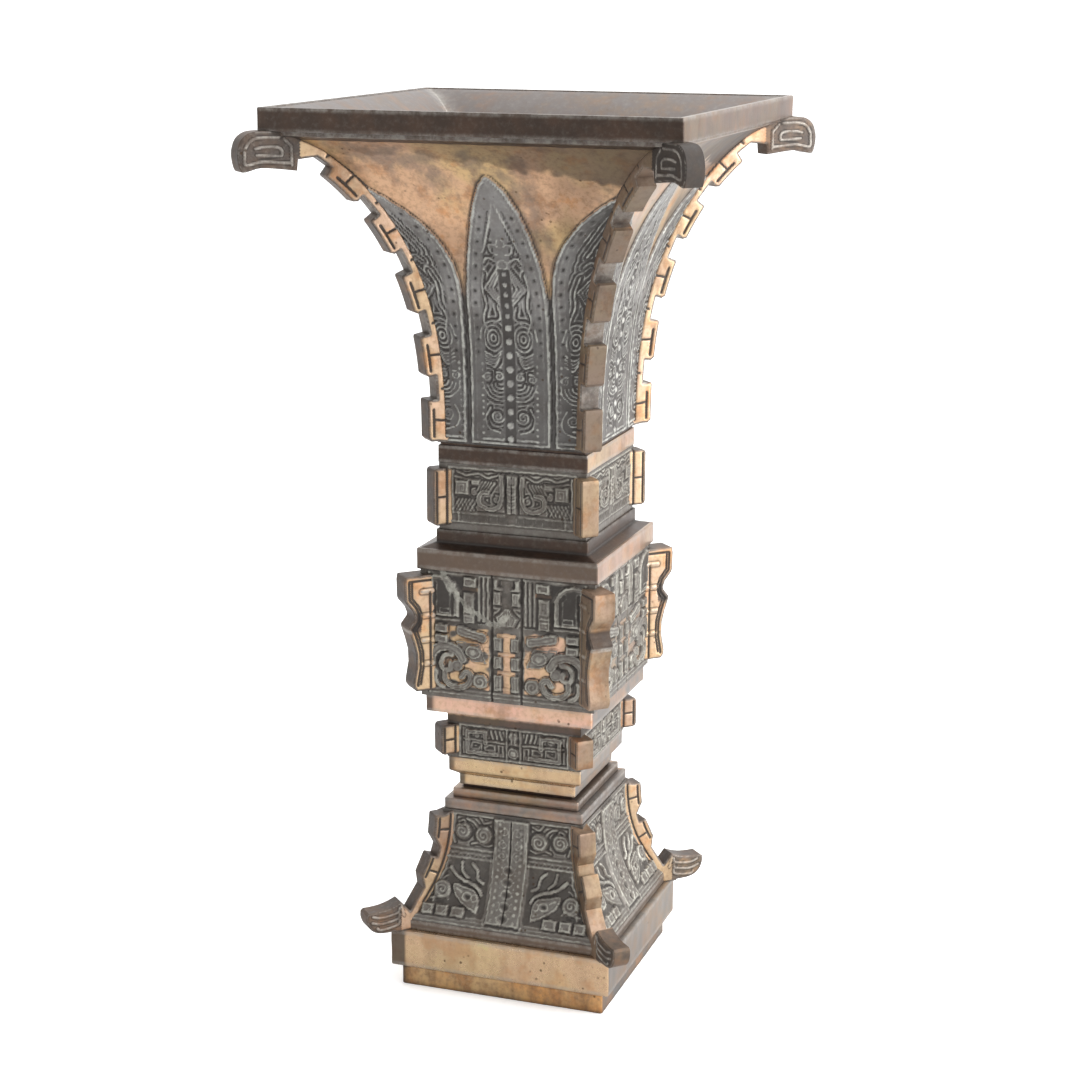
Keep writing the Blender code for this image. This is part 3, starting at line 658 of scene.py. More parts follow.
# %% [markdown]
# ## The foot panels
# The foot sweeps out below the waist. A wide band of beads and rings runs down the middle
# of each face, and thin lines frame a field above and a field below at both its sides. It
# is drawn on a sheet as the mask was, and the foot's curve bends the sheet afterwards.

# %% Middle band and frames of the foot
FOOT_RISE = 1.2
SMALL_RISE = 0.9


def foot_middle(sheet):
    """The middle band with its pale upright edges, beads, rings and spirals."""
    sheet.plate(box(0, 36.2, 8.6, 84.6), FOOT_RISE)
    sheet.line([(9.2, 36.0), (9.2, 64.2)], 0.7, 1.3)
    sheet.line([(7.0, 64.5), (7.0, 84.6)], 0.35, 0.8)
    for i in range(15):
        z = 38.0 + 3.15 * i
        sheet.bead((5.5, z), 1.0, 0.45)
        sheet.bead((3.3, z + 1.5), 0.6, 0.35)
    for z in (39.0, 44.2, 49.4, 54.8, 60.2):
        sheet.high -= 0.75 * np.exp(-((sheet.u / 1.9) ** 2 + ((sheet.z - z) / 1.1) ** 2))
        sheet.stain(ring((0, z), 2.0, 0.6)[:-1], 0.8)
        sheet.line(ring((0, z), 2.7, 0.75), 0.35, 0.6)
    for z, way in ((67.0, 1), (72.4, -1), (78.6, 1)):
        sheet.line(spiral((3.6, z), 2.4, 1.6, 90, way), 0.45, 0.7)
        sheet.line([(1.0, z - 2.4), (0.5, z + 2.4)], 0.3, 0.6)


def foot_frames(sheet):
    """Lines between the two fields and along the bottom of the lower one."""
    for z, size in ((63.6, 0.8), (65.8, 0.45), (67.9, 0.7)):
        sheet.line([(9.2, z), (33.6, z)], size, 1.0)
    for x in (12, 16, 20, 24, 28):
        sheet.line([(x, 64.2), (x + 1.2, 65.6), (x + 2.4, 64.4)], 0.3, 0.5)
    sheet.line([(9.4, 36.2), (46.5, 36.2)], 0.55, 1.0)
    sheet.line([(0, 34.7), (48.0, 34.7)], 0.6, 0.9)


print("the band down the middle of the foot is", 2 * 8.6, "mm wide")


# %% [markdown]
# The lower field holds half of a creature: an antler, an eye shaped like a leaf, an ear
# spiral and square scrolls below. The upper field holds two round scrolls side by side
# with short bars and commas between them.

# %% Creature and scrolls of the foot
def foot_creature(sheet):
    """Antler, eye, ear and square scrolls of the lower field."""
    antler = smooth([(12.6, 47.6), (14.4, 50.2), (18.0, 52.2), (22.4, 53.4), (26.0, 55.2), (29.2, 58.4)])
    sheet.band(antler, 1.7, FOOT_RISE)
    sheet.band(smooth([(12.2, 52.8), (15.2, 54.6), (16.0, 58.4), (18.8, 61.2)]), 1.5, FOOT_RISE)
    sheet.band(smooth([(20.4, 54.6), (23.2, 57.2), (24.0, 61.4)]), 1.5, FOOT_RISE)
    eye = smooth([(13.2, 39.4), (19.6, 42.0), (24.6, 45.4), (27.2, 49.8), (26.2, 52.0), (21.6, 50.8),
                  (16.6, 49.8), (13.6, 46.6), (13.2, 39.4)])
    sheet.plate(eye[:-1], FOOT_RISE, (1.2,))
    sheet.line(ring((19.3, 46.4), 2.1, 0.8), 0.5, 0.7)
    sheet.high -= 0.6 * np.exp(-(((sheet.u - 19.3) / 1.0) ** 2 + ((sheet.z - 46.4) / 0.8) ** 2))
    sheet.line(ring((15.6, 45.9), 1.3, 1.2), 0.45, 0.6)
    sheet.line([(22.2, 47.8), (24.8, 49.4)], 0.4, 0.6)
    ear = (32.4, 48.2)
    sheet.plate(ring(ear, 4.4, 0.95)[:-1], SMALL_RISE)
    sheet.line(spiral(ear, 4.0, 2.0, 20, 1, 0.95), 0.6, 0.8)
    sheet.line([(28.6, 44.2), (29.6, 45.6), (37.6, 44.0)], 0.5, 0.8)
    for left, right in ((19.6, 26.6), (28.0, 34.2), (35.4, 41.4)):
        sheet.plate(box(left, 37.2, right, 41.8), SMALL_RISE)
        sheet.line(key(left + 0.8, 37.9, right - 0.8, 41.2, 1.25), 0.5, 0.7)
    sheet.line([(10.4, 37.6), (18.0, 37.6)], 0.5, 0.9)
    # a leaf blade runs up the outer side of the field
    sheet.line(smooth([(36.2, 43.0), (34.6, 52.0), (32.2, 57.4), (31.2, 62.6)]), 0.5, 0.9)
    for z in (54.6, 58.0, 61.2):
        sheet.line(smooth([(30.2, z), (31.8, z - 0.8), (33.4, z - 2.4)]), 0.35, 0.6)


def foot_scrolls(sheet):
    """Two round scrolls, commas and short bars of the upper field."""
    for centre, radius, start, way in (((14.0, 75.4), 4.2, 120, -1), ((24.6, 76.4), 4.0, 60, 1)):
        sheet.plate(ring(centre, radius)[:-1], SMALL_RISE)
        sheet.line(spiral(centre, radius - 0.4, 1.8, start, way), 0.55, 0.8)
    sheet.line(smooth([(17.0, 78.2), (19.0, 81.0), (22.4, 82.6)]), 0.5, 0.9)
    sheet.line(smooth([(10.4, 82.4), (13.6, 81.2), (16.0, 83.6)]), 0.5, 0.8)
    sheet.line(smooth([(9.6, 71.0), (12.6, 70.2), (17.0, 71.4), (20.0, 70.4)]), 0.4, 0.7)
    sheet.line(smooth([(26.6, 80.6), (24.4, 81.8), (23.4, 80.4), (24.6, 79.4)]), 0.6, 0.9)
    sheet.line([(29.4, 76.0), (29.0, 84.0)], 0.6, 1.0)
    sheet.line([(28.6, 70.4), (29.6, 73.6)], 0.45, 0.8)
    sheet.line([(9.6, 84.6), (31.6, 84.6)], 0.55, 0.9)


def foot_ground(sheet):
    """Soil on the open ground, and fine lines that follow the drawn forms."""
    sheet.stain([(9.9, 37.0), (33.5, 37.0), (31.6, 63.0), (9.9, 63.0)], 0.5)
    sheet.soil *= 1.0 - ease(sheet.high / 0.7)
    sheet.echo(sheet.ground(7.6, 69.0, 33.4, 84.2))
    sheet.echo(sheet.ground(30.4, 37.2, 46.0, 63.0))
    sheet.echo(sheet.ground(0.4, 64.6, 7.4, 84.4), 0.25)
    sheet.high += 0.10 * sway(sheet.x, sheet.z, 8.0, 5)


foot = Sheet(foot_half, levels(*FOOT, 0.54, foot_half), 144)
foot.rubbed[:] = 0.04
for draw in (foot_middle, foot_frames, foot_creature, foot_scrolls, foot_ground):
    draw(foot)
relief_course("foot_panels", foot)

# %% [markdown]
# ## The two narrow bands
# A band of fine scrolls goes round the neck: two creatures with hooked beaks face each
# other over a small ridge. It is cast in thin lines on a dark ground, so it is drawn with
# the line tool and few plates, on a finer sheet than the mask.

# %% The neck band
BAND_RISE = 1.0
BAND_GRID = 0.46


def neck_band(sheet):
    for path in ([(0, 228.2), (30.8, 228.2), (30.8, 253.6), (0, 253.6)], [(29.0, 232.0), (29.0, 251.6)]):
        sheet.line(path, 0.55, 0.9)
    # ridge between the two creatures
    sheet.plate(box(0, 233.5, 2.3, 251.6), BAND_RISE)
    sheet.line([(0, 246.6), (2.2, 246.6), (2.2, 250.8)], 0.5, 0.7)
    for z in (236.5, 239.5, 242.5):
        sheet.line([(0, z), (1.8, z + 0.8)], 0.4, 0.6)
    # head: square eye beside a hooked beak
    sheet.plate(box(20.9, 241.0, 27.6, 248.0), BAND_RISE)
    sheet.line(key(21.8, 241.8, 26.8, 247.2, 1.35, -1), 0.5, 0.7)
    sheet.line([(17.0, 247.6), (27.8, 249.4)], 0.4, 0.7)
    sheet.plate([(15.8, 246.0), (19.6, 246.0), (19.6, 248.0), (15.8, 248.4)], 0.8)
    # body: scrolls and hatched wings
    body = smooth([(5.2, 250.6), (4.8, 242.0), (6.6, 236.4), (11.4, 235.2), (15.8, 237.6), (15.2, 242.0),
                   (11.8, 243.0)])
    sheet.band(body, 2.4, BAND_RISE, (0.9,))
    for i in range(5):
        sheet.line([(8.4 + 1.5 * i, 247.6), (10.8 + 1.5 * i, 243.6)], 0.45, 0.6)
    for i in range(6):
        sheet.line([(17.4 + 1.7 * i, 238.8), (20.2 + 1.7 * i, 233.8)], 0.45, 0.6)
    for i in range(4):
        sheet.line([(18.6 + 2.2 * i, 234.0), (20.6 + 2.2 * i, 237.6)], 0.30, 0.5)
    sheet.line(smooth([(6.2, 251.6), (11.6, 249.6), (16.4, 251.4), (22.0, 250.2), (27.0, 251.8)]), 0.4, 0.7)
    sheet.line(spiral((7.6, 240.0), 1.9, 1.4, 90), 0.45, 0.6)
    sheet.line(spiral((18.2, 242.6), 1.8, 1.4, 90, -1), 0.45, 0.6)
    sheet.line([(3.6, 232.4), (28.4, 232.4)], 0.5, 0.8)
    # low strip of feet and thunder scrolls
    for left in (2.0, 6.6, 11.2, 15.8, 20.4):
        sheet.line(key(left + 0.4, 229.2, left + 3.8, 231.6, 0.95), 0.35, 0.55)
    sheet.line([(26.0, 229.0), (26.0, 233.6)], 0.6, 1.0)
    sheet.stain([(2, 228.8), (25, 228.8), (25, 232.2), (2, 232.2)], 0.5)
    sheet.echo(sheet.ground(0.5, 233.2, 30.2, 253.2), 0.36)
    sheet.high += 0.10 * sway(sheet.x, sheet.z, 7.0, 2)


neck = Sheet(straight(NECK_BAND[2]), levels(NECK_BAND[0], NECK_BAND[1], BAND_GRID), 152)
neck.rubbed[:] = 0.03
neck_band(neck)
relief_course("neck_band", neck)


# %% [markdown]
# The lower band, below the box, is plainer: a hooked strip and a few scrolls in a frame.
# Above the frame runs a smooth strip that was rubbed, with soil left along its lower edge.

# %% The low band
def low_band(sheet):
    sheet.line([(0, 113.2), (27.0, 113.2), (27.0, 128.9), (0, 128.9)], 0.6, 0.95)
    sheet.line([(3.4, 113.2), (3.4, 128.9)], 0.5, 0.8)
    sheet.plate(ring((0, 117.2), 2.7)[:-1], BAND_RISE, (0.9,))
    sheet.bead((0, 117.2), 1.2, 0.4)
    sheet.plate([(0, 121.2), (2.2, 121.2), (1.2, 123.2), (2.2, 125.2), (1.4, 127.6), (0, 127.6)], BAND_RISE)
    hooked = [(8.4, 115.6), (23.0, 115.6), (23.0, 126.0), (14.0, 126.0), (14.0, 121.0)]
    sheet.band(hooked, 2.3, BAND_RISE, (0.8,))
    sheet.line([(4.6, 121.6), (24.8, 122.0)], 0.45, 0.7)
    for x in (6.0, 8.2, 10.4):
        sheet.line([(x, 123.4), (x + 0.9, 127.2)], 0.4, 0.6)
    sheet.line(key(16.0, 117.4, 21.0, 120.6, 1.2), 0.4, 0.6)
    sheet.line(key(5.2, 115.0, 7.6, 120.2, 1.1), 0.4, 0.6)
    sheet.line(spiral((18.6, 124.2), 1.6, 1.3, 0), 0.4, 0.6)
    sheet.echo(sheet.ground(0.5, 113.8, 26.6, 128.4), 0.36)
    sheet.rub(box(-40, 129.9, 40, 137), 0.55, 1.0)
    sheet.stain(box(-40, 129.6, 40, 133.4), 0.75, 1.4)
    sheet.high += 0.10 * sway(sheet.x, sheet.z, 7.0, 7)


low = Sheet(straight(LOW_BAND[2]), levels(LOW_BAND[0], LOW_BAND[1], BAND_GRID), 140)
low.rubbed[:] = 0.05
low_band(low)
relief_course("low_band", low)

# %% [markdown]
# ## The trumpet and its leaves
# Eight blades stand round the trumpet: one on each face, and one folded round each corner.
# Each blade has a plain border, a row of dark pits inside it and an insect-like figure of
# beads, chevrons and rings. Distance from the blade's own middle line places all of it, so
# the folded corner blades repeat the same drawing.

# %% Outlines and strokes of a blade
LEAF_RISE = 1.2
LEAF_TIP = 390.2
CORNER_TIP = 387.4


def leaf_width(z):
    """Half width of the blade in the middle of a face."""
    share = np.clip((389.5 - z) / 58.0, 0.0, 1.0)
    return 19.2 * (1.0 - (1.0 - share) ** 1.5) ** 0.6


def corner_width(z):
    """How far a corner blade reaches in from the corner."""
    share = np.clip((z - 386.7 + 59.0) / 59.0, 0.0, None)
    halves = np.array([trumpet_half(v) for v in np.ravel(z)]).reshape(np.shape(z))
    return halves - (21.3 + (trumpet_half(386.7) - 21.3) * share ** 2.8)


def leaf_strokes():
    """Fine cast lines of a blade, as distance from its middle line and height."""
    # antennae and head
    strokes = [smooth([(0.4, 378.0), (3.4, 369.0), (6.4, 361.0), (9.0, 354.6)])]
    strokes.append(smooth([(1.2, 361.0), (2.6, 358.8), (5.4, 358.4), (4.6, 355.2), (2.0, 354.2)]))
    strokes.append(smooth([(2.8, 350.6), (6.6, 352.6), (9.4, 350.0)]))
    # chevrons inside each other, with a wavy line beside them
    for i in range(3):
        reach = 9.6 - 1.9 * i
        strokes.append([(2.6, 348.0 - 1.6 * i), (reach, 338.4), (3.0, 331.0 + 1.9 * i)])
    strokes.append(smooth([(9.8, 345.0), (11.0, 338.0), (9.6, 331.0), (11.2, 324.0), (9.4, 318.6)]))
    strokes.append(smooth([(4.4, 330.0), (3.4, 325.0), (6.8, 322.0)]))
    # rings, and ribs hanging below them
    for radius in (1.2, 2.8, 4.4):
        strokes.append(ring((7.2, 315.4), radius, 1.35, 20))
    strokes.append(smooth([(3.0, 321.6), (7.2, 323.4), (12.0, 320.6), (13.4, 315.0)]))
    for i in range(4):
        drop = 1.6 * i
        strokes.append(smooth([(3.6 + 0.5 * i, 309.6 - drop), (7.4, 306.8 - drop), (11.6, 309.0 - 1.7 * i)]))
    # spirals, fans and a line along the bottom
    strokes.append(spiral((5.2, 297.6), 2.2, 1.5, 60))
    strokes.append(spiral((10.6, 297.0), 2.2, 1.5, 120, -1))
    for radius in (2.6, 4.4, 6.2, 8.0):
        arc = [(4.6 + radius * math.cos(a), 294.4 - radius * math.sin(a))
               for a in np.linspace(0.05 * math.pi, 0.62 * math.pi, 10)]
        strokes.append([(min(x, 13.6), z) for x, z in arc])
    strokes.append(spiral((6.2, 279.0), 3.0, 1.8, 200))
    strokes.append(smooth([(9.6, 283.0), (11.8, 278.0), (10.0, 273.4), (5.0, 271.6)]))
    strokes.append([(3.4, 268.4), (12.4, 268.4)])
    return strokes


print("each half of a blade has", len(leaf_strokes()), "strokes")


# %% [markdown]
# A blade is raised as one plate with its border, then the pits and beads are placed in
# rows by loops, and last the strokes. Fine lines follow the strokes where the field is
# open, as they do on the real leaf.

# %% Cut a blade
def leaf_plate(sheet, inside):
    """The raised blade with the two lines of its border; inside is the depth from its edge."""
    body = ease(inside / 0.55 + 0.35)
    sheet.high = np.maximum(sheet.high, LEAF_RISE * body)
    sheet.rubbed *= 1.0 - body
    sheet.high += 0.16 * np.exp(-((inside - 0.9) / 0.7) ** 2)
    sheet.high -= 0.40 * np.exp(-((inside - 1.7) / 0.4) ** 2)
    sheet.high -= 0.32 * np.exp(-((inside - 6.2) / 0.45) ** 2) * (sheet.z > 300) * (sheet.z < 374)
    sheet.soil = np.maximum(sheet.soil, 0.7 * ease(1.0 - np.abs(inside + 1.0) / 1.1))


def leaf_pits(sheet, away, width):
    """A row of dark pits along the border, and small studs low on the blade."""
    for i in range(12):
        z = 371.0 - 5.7 * i
        row = float(width(np.array([z]))[0]) - 4.3
        if row > 2.0:
            pit = np.exp(-((away - row) / 0.95) ** 2 - ((sheet.z - z) / 0.95) ** 2)
            sheet.high -= 0.7 * pit
            sheet.soil = np.maximum(sheet.soil, pit)
    for i in range(13):
        z = 303.0 - 2.9 * i
        sheet.high += 0.5 * np.exp(-((away - 13.0) / 0.75) ** 2 - ((sheet.z - z) / 0.8) ** 2)


def leaf_beads(sheet, away):
    """A sunk dark column with beads in it, a ring above it and two eyes."""
    column = ease((3.0 - away) / 0.6) * ease((sheet.z - 266.6) / 0.8) * ease((348.0 - sheet.z) / 0.8)
    sheet.high -= 0.35 * column
    sheet.soil = np.maximum(sheet.soil, 0.75 * column)
    for z in [268.6 + 6.45 * i for i in range(9)] + [325.6, 330.6, 335.4, 340.2, 345.0]:
        size = 1.75 if z < 322 else 1.2
        bead = np.clip(1.0 - (away / size) ** 2 - ((sheet.z - z) / size) ** 2, 0.0, 1.0)
        sheet.high += 0.95 * np.sqrt(bead)
        sheet.soil *= 1.0 - ease(bead * 3.0)
    sheet.high += 0.55 * np.exp(-((np.hypot(away, sheet.z - 349.4) - 2.2) / 0.6) ** 2)
    sheet.high += 0.6 * np.exp(-((away - 1.6) / 0.7) ** 2 - ((sheet.z - 358.0) / 0.7) ** 2)


def leaf_lines(sheet, away, inside):
    """The strokes, and finer lines that follow them on the open field."""
    nearest = np.full(sheet.x.shape, 50.0)
    margin, pitch = 8.0, 2.0
    for path in leaf_strokes():
        hit = (away < max(p[0] for p in path) + margin) & (sheet.z > min(p[1] for p in path) - margin)
        hit &= sheet.z < max(p[1] for p in path) + margin
        if hit.any():
            nearest[hit] = np.minimum(nearest[hit], to_line(away[hit], sheet.z[hit], path))
    line = np.exp(-(nearest / 0.52) ** 2)
    follow = np.cos(2.0 * math.pi * nearest / pitch) * (nearest < 7.5) * (1.0 - line)
    open_field = ease((inside - 6.4) / 0.6) * ease((away - 3.2) / 0.4)
    sheet.high += (inside > 0.6) * (0.5 * line + 0.30 * follow * open_field)
    sheet.soil = np.maximum(sheet.soil, 0.95 * open_field * ease(-follow / 0.8))


def carve_leaf(sheet, away, width, tip):
    """One blade; away is the distance from its middle line at every point."""
    inside = np.where(sheet.z < tip, (width(sheet.z) - away) * 0.86, -5.0)
    inside = np.minimum(inside, sheet.z - 265.6)
    leaf_plate(sheet, inside)
    leaf_pits(sheet, away, width)
    leaf_beads(sheet, away)
    leaf_lines(sheet, away, inside)


print("the leaf stands", LEAF_RISE, "mm proud and ends", LEAF_TIP, "mm up")


# %% [markdown]
# The ground between the blades was rubbed to bare gold in its upper part. A brown band lies
# under the rim, partly tarnish and partly painted shade where the flare turns down, and it
# reaches lower on the right of each face. Soil gathers low between the blades and beside
# the corners, and the front has the painted shadow of the front right flange on the blade
# at its right corner. The trumpet is made in two sheets, which keeps each mesh small enough
# to handle.

# %% Wear and painted shade of the trumpet, and its two courses
def trumpet_ground(sheet):
    """Bare gold, the brown band under the rim, partly painted shade, and browner patches to the right."""
    sheet.rubbed[:] = ease((sheet.z - 322.0) / 26.0)
    ragged = 3.4 * sway(sheet.x, sheet.z, 41.0, 6) + 1.9 * sway(sheet.x, sheet.z, 11.0, 8)
    toward_right = ease((sheet.x + 50.0) / 120.0)
    # the band under the rim is partly tarnish and partly painted shade where the flare turns down
    brown_and_shade_top = ease((sheet.z - 396.5 + 11.0 * toward_right + ragged) / 3.4) * (0.55 + 0.35 * toward_right)
    sheet.rubbed *= 1.0 - 0.25 * brown_and_shade_top
    sheet.soil[:] = 0.55 * (1.0 - ease((sheet.z - 318.0) / 26.0))
    sheet.soil = np.maximum(sheet.soil, 0.84 * brown_and_shade_top)
    uneven = 0.26 * sway(sheet.x, sheet.z, 67.0, 12) + 0.14 * sway(sheet.x, sheet.z, 29.0, 5)
    browner = ease((sheet.x + 4.0) / 34.0) * (0.50 + uneven)
    lower_gold = 0.42 * ease((378.0 - sheet.z) / 18.0)
    sheet.soil = np.maximum(sheet.soil, np.maximum(0.84 * browner, lower_gold) * sheet.rubbed)


def trumpet_sheet(start, end, spacing, columns):
    """A stretch of the trumpet from start to end, with its blades."""
    sheet = Sheet(trumpet_half, levels(start, end, spacing, trumpet_half), columns)
    trumpet_ground(sheet)
    from_corner = np.array([trumpet_half(z) for z in sheet.true_z[:, 0]])[:, None] - sheet.u
    carve_leaf(sheet, sheet.u, leaf_width, LEAF_TIP)
    carve_leaf(sheet, from_corner, corner_width, CORNER_TIP)
    grime = 0.63 * ease(1.15 - from_corner / 17.0) * ease((372.0 - sheet.z) / 30.0)
    sheet.soil = np.maximum(sheet.soil, grime)
    sheet.high += 0.12 * sway(sheet.x, sheet.z, 16.0, 4)
    return sheet


def flange_shadow_on_front(sheet):
    """Painted shadow of the front right flange on the front face, on the blade beside its right corner."""
    from_right = np.array([trumpet_half(z) for z in sheet.true_z[:, 0]])[:, None] - sheet.true_x
    blade = ease((corner_width(sheet.z) - from_right) / 2.0) * (sheet.true_x > 0)
    return 0.75 * blade * ease(1.2 - from_right / 24.0) * ease((384.0 - sheet.z) / 6.0)


TRUMPET_CUT = 334.0
for name, sheet in (("trumpet_lower", trumpet_sheet(TRUMPET[0], TRUMPET_CUT, 0.66, 132)),
                    ("trumpet_upper", trumpet_sheet(TRUMPET_CUT, TRUMPET[1], 0.84, 148))):
    # the front face gets the painted shadow of the front right flange
    relief_course(name, sheet, front_soil=flange_shadow_on_front(sheet))

# %% [markdown]
# ## Plain courses
# Steps, ledges and tiers are plain moulded bands with edges softened by handling. One
# closed outline, rounded at its corners, is swept round the square. A Bevel modifier could
# round the edges too, but the outline also carries how worn each edge is and how dark, from
# soil and from painted shade.

# %% Outline of a moulding and the square that it follows
def moulding(corners, step):
    """Dense closed outline; each corner is half width, height, rounding, worn, soiled."""
    path = []
    count = len(corners)
    for i, (half, z, radius, worn, soil) in enumerate(corners):
        following = corners[(i + 1) % count]
        here = Vector((half, z))
        before = Vector(corners[i - 1][:2])
        after = Vector(following[:2])
        if radius:
            start = here + (before - here).normalized() * radius
            end = here + (after - here).normalized() * radius
            for t in (0.0, 0.33, 0.67, 1.0):
                spot = start * (1 - t) ** 2 + here * 2 * t * (1 - t) + end * t * t
                path.append((spot.x, spot.y, worn, soil))
            here = end
        else:
            path.append((half, z, worn, soil))
        gap = (after - here).length - following[2]
        stops = max(int(gap // step), 0)
        for k in range(1, stops + 1):
            t = k / (stops + 1)
            spot = here.lerp(after, t * gap / max((after - here).length, 1e-6))
            near = abs(2 * t - 1) ** 4
            side_soil = soil if t < 0.5 else following[4]
            path.append((spot.x, spot.y, 0.0, side_soil * near))
    return path


def square_plan(half, columns, corner):
    """Points round a square with softened corners, and the outward direction at each."""
    points, outward = [], []
    flat = half - corner
    for turn in range(4):
        angle = 0.5 * math.pi * turn
        cos, sin = round(math.cos(angle)), round(math.sin(angle))
        local = [(-flat + 2 * flat * i / columns, -half, 0.0, -1.0) for i in range(columns + 1)]
        for k in (1, 2):
            swing = math.radians(30 * k)
            local.append((flat + corner * math.sin(swing), -flat - corner * math.cos(swing),
                          math.sin(swing), -math.cos(swing)))
        for x, y, nx, ny in local:
            points.append((x * cos - y * sin, x * sin + y * cos))
            outward.append((nx * cos - ny * sin, nx * sin + ny * cos))
    return np.array(points), np.array(outward)


print("a square of 10 mm has", len(square_plan(5.0, 4, 0.9)[0]), "points with 4 steps a side")


# %% [markdown]
# A slow swelling of a tenth of a millimetre keeps the faces from looking machined. The
# right face is made less bare on some courses, and barer on others as a painted sheen of
# the lamp on the right, and the front left corner carries painted shade on a few. Both are
# marks that the course takes as values.

# %% Sweep a course round the square
CORNER_RADIUS = 0.9


def plain_course(name, corners, rubbed, columns=26, uneven=0.10, seed=1, capped=False,
                 rub_right=0.35, crease_highlight=0.0, step=2.2, dark_left=0.0):
    """Swept course; rub_right scales how bare the right face is, and above one it paints the
    sheen of the lamp on that face, crease paints a highlight on the corners, and dark_left is
    how far, in millimetres, the front left corner carries painted shade."""
    rows, worn_rows, soil_rows = [], [], []
    for half, z, worn, soil in moulding(corners, step):
        plan, outward = square_plan(half, columns, min(CORNER_RADIUS, 0.3 * half))
        across = plan[:, 0] * outward[:, 1] - plan[:, 1] * outward[:, 0]
        push = uneven * sway(across, np.full(len(plan), z), 18.0, seed)
        plan = plan + outward * push[:, None]
        rows.append(np.column_stack([plan, np.full(len(plan), z)]))
        worn_rows.append(np.full(len(plan), worn))
        soil_rows.append(np.full(len(plan), soil))
    count = len(rows[0])
    faces = ring_faces(len(rows), count, not capped)
    if capped:
        faces.append(list(range(count))[::-1])
        faces.append([(len(rows) - 1) * count + i for i in range(count)])
    points = np.concatenate(rows) * MM
    on_right = points[:, 0] > np.abs(points[:, 1]) + 0.5 * MM
    off_corner = np.abs(np.abs(points[:, 0]) - np.abs(points[:, 1])) / MM
    # painted shade along the front left corner
    left_shade = (points[:, 0] < 0) * (points[:, 1] < 0) * ease((dark_left - off_corner) / 1.6 + 0.5)
    marks = {"crest": np.concatenate(worn_rows) + crease_highlight * np.exp(-(off_corner / 1.6) ** 2),
             "soil": np.maximum(np.concatenate(soil_rows), 0.78 * left_shade * (dark_left > 0)),
             "rubbed": rubbed * np.where(on_right, rub_right, 1.0)}
    return make_mesh(name, points, faces, marks)


def plain_band(name, course, rubbed, edge=0.5, worn=0.5, behind=4.0, soiled=(0.25, 0.25), **more):
    """A straight course: outer face with two softened edges, and a hidden back."""
    low, high, half = course
    back = half - behind
    corners = [(back, low, 0, 0.0, 0.9), (half, low, edge, worn, soiled[0]),
               (half, high, edge, worn, soiled[1]), (back, high, 0, 0.0, 0.9)]
    return plain_course(name, corners, rubbed, **more)


# the step's top edge, under the block's overhang, is dark: partly soil, partly painted shadow
plain_band("foot_step", STEP, 0.95, edge=0.7, seed=3, worn=0.1, soiled=(0.55, 0.95), dark_left=3.0,
           columns=48)
plain_band("foot_block", BLOCK, 0.95, edge=0.8, behind=7.8, seed=5, uneven=0.16, dark_left=7.6,
           columns=56)
plain_band("foot_cove", COVE, 0.16, seed=2)
plain_band("foot_cap", FOOT_CAP, 0.38, seed=4)
plain_band("collar", COLLAR, 0.42, seed=6)
plain_band("waist", WAIST, 0.15, edge=0.2, worn=0.0, seed=1)
plain_band("under_ledge", UNDER_LEDGE, 1.0, edge=0.6, behind=9.0, seed=8, dark_left=4.4, columns=44)
# the right faces of these ledges are made barer, a painted sheen of the lamp on the right
plain_band("over_ledge", OVER_LEDGE, 0.16, edge=0.6, behind=6.0, seed=9, rub_right=3.0)
plain_band("neck_ledge", NECK_LEDGE, 0.14, seed=7, rub_right=4.0)

# %% [markdown]
# ## Sloped courses and the rim
# Three courses slope or step from one width to the next: the tier over the waist, the
# plinth under the neck and the rim with its bead. They are swept in the same way, from an
# outline with more corners.

# %% Tier, plinth, groove and rim
tier = [(25.0, TIER[0], 0, 0, 0.9), (TIER[2], TIER[0], 0.4, 0.4, 0.3), (TIER[2], TIER[1], 0.4, 0.3, 0.1),
        (LOW_LEDGE[2], LOW_LEDGE[0], 0.4, 0.1, 0.4), (LOW_LEDGE[2], LOW_LEDGE[1], 0.5, 0.5, 0.2),
        (29.0, LOW_LEDGE[1], 0, 0, 0.9)]
plain_course("low_tier", tier, 0.93, seed=11, dark_left=3.0, columns=36)
plinth = [(33.0, 215.2, 0, 0, 0.9), (43.6, 215.5, 0.4, 0.2, 0.1), (PLINTH[2], PLINTH[0], 0.4, 0.0, 0.8),
          (PLINTH[2], PLINTH[1], 0.5, 0.25, 0.5), (33.0, PLINTH[1], 0, 0, 0.9)]
plain_course("plinth", plinth, 0.0, seed=12)
plain_band("groove", (263.4, 265.2, 35.4), 0.1, edge=0.2, worn=0.0, seed=1)
rim = [(84.5, 403.6, 0, 0, 0.6), (BEAD[2], BEAD[0], 0.4, 0.5, 0.2), (BEAD[2], BEAD[1], 0.3, 0.4, 0.4),
       (RIM[2], RIM[0], 0.5, 0.25, 0.1), (RIM[2], RIM[1], 0.6, 0.35, 0.0), (92.7, RIM[1], 0.4, 0.3, 0.0),
       (91.6, 415.6, 0, 0, 0.0)]
# the right face of the rim is made barer, a painted sheen of the lamp on the right
plain_course("rim_band", rim, 0.14, columns=36, seed=13, uneven=0.14, rub_right=2.6)

# %% [markdown]
# ## The hollow
# The vase is empty from its mouth down to a floor at the waist, and the foot is hollow
# below that. Each lining is its own closed shell, so that the inside can be seen down to
# the floor. The mouth lining has a painted highlight along its four creases.

# %% Linings and floor
LINING = 2.3  # thickness of a lining
LIP_DROP = 0.8  # the back of the lining starts lower, under the lip


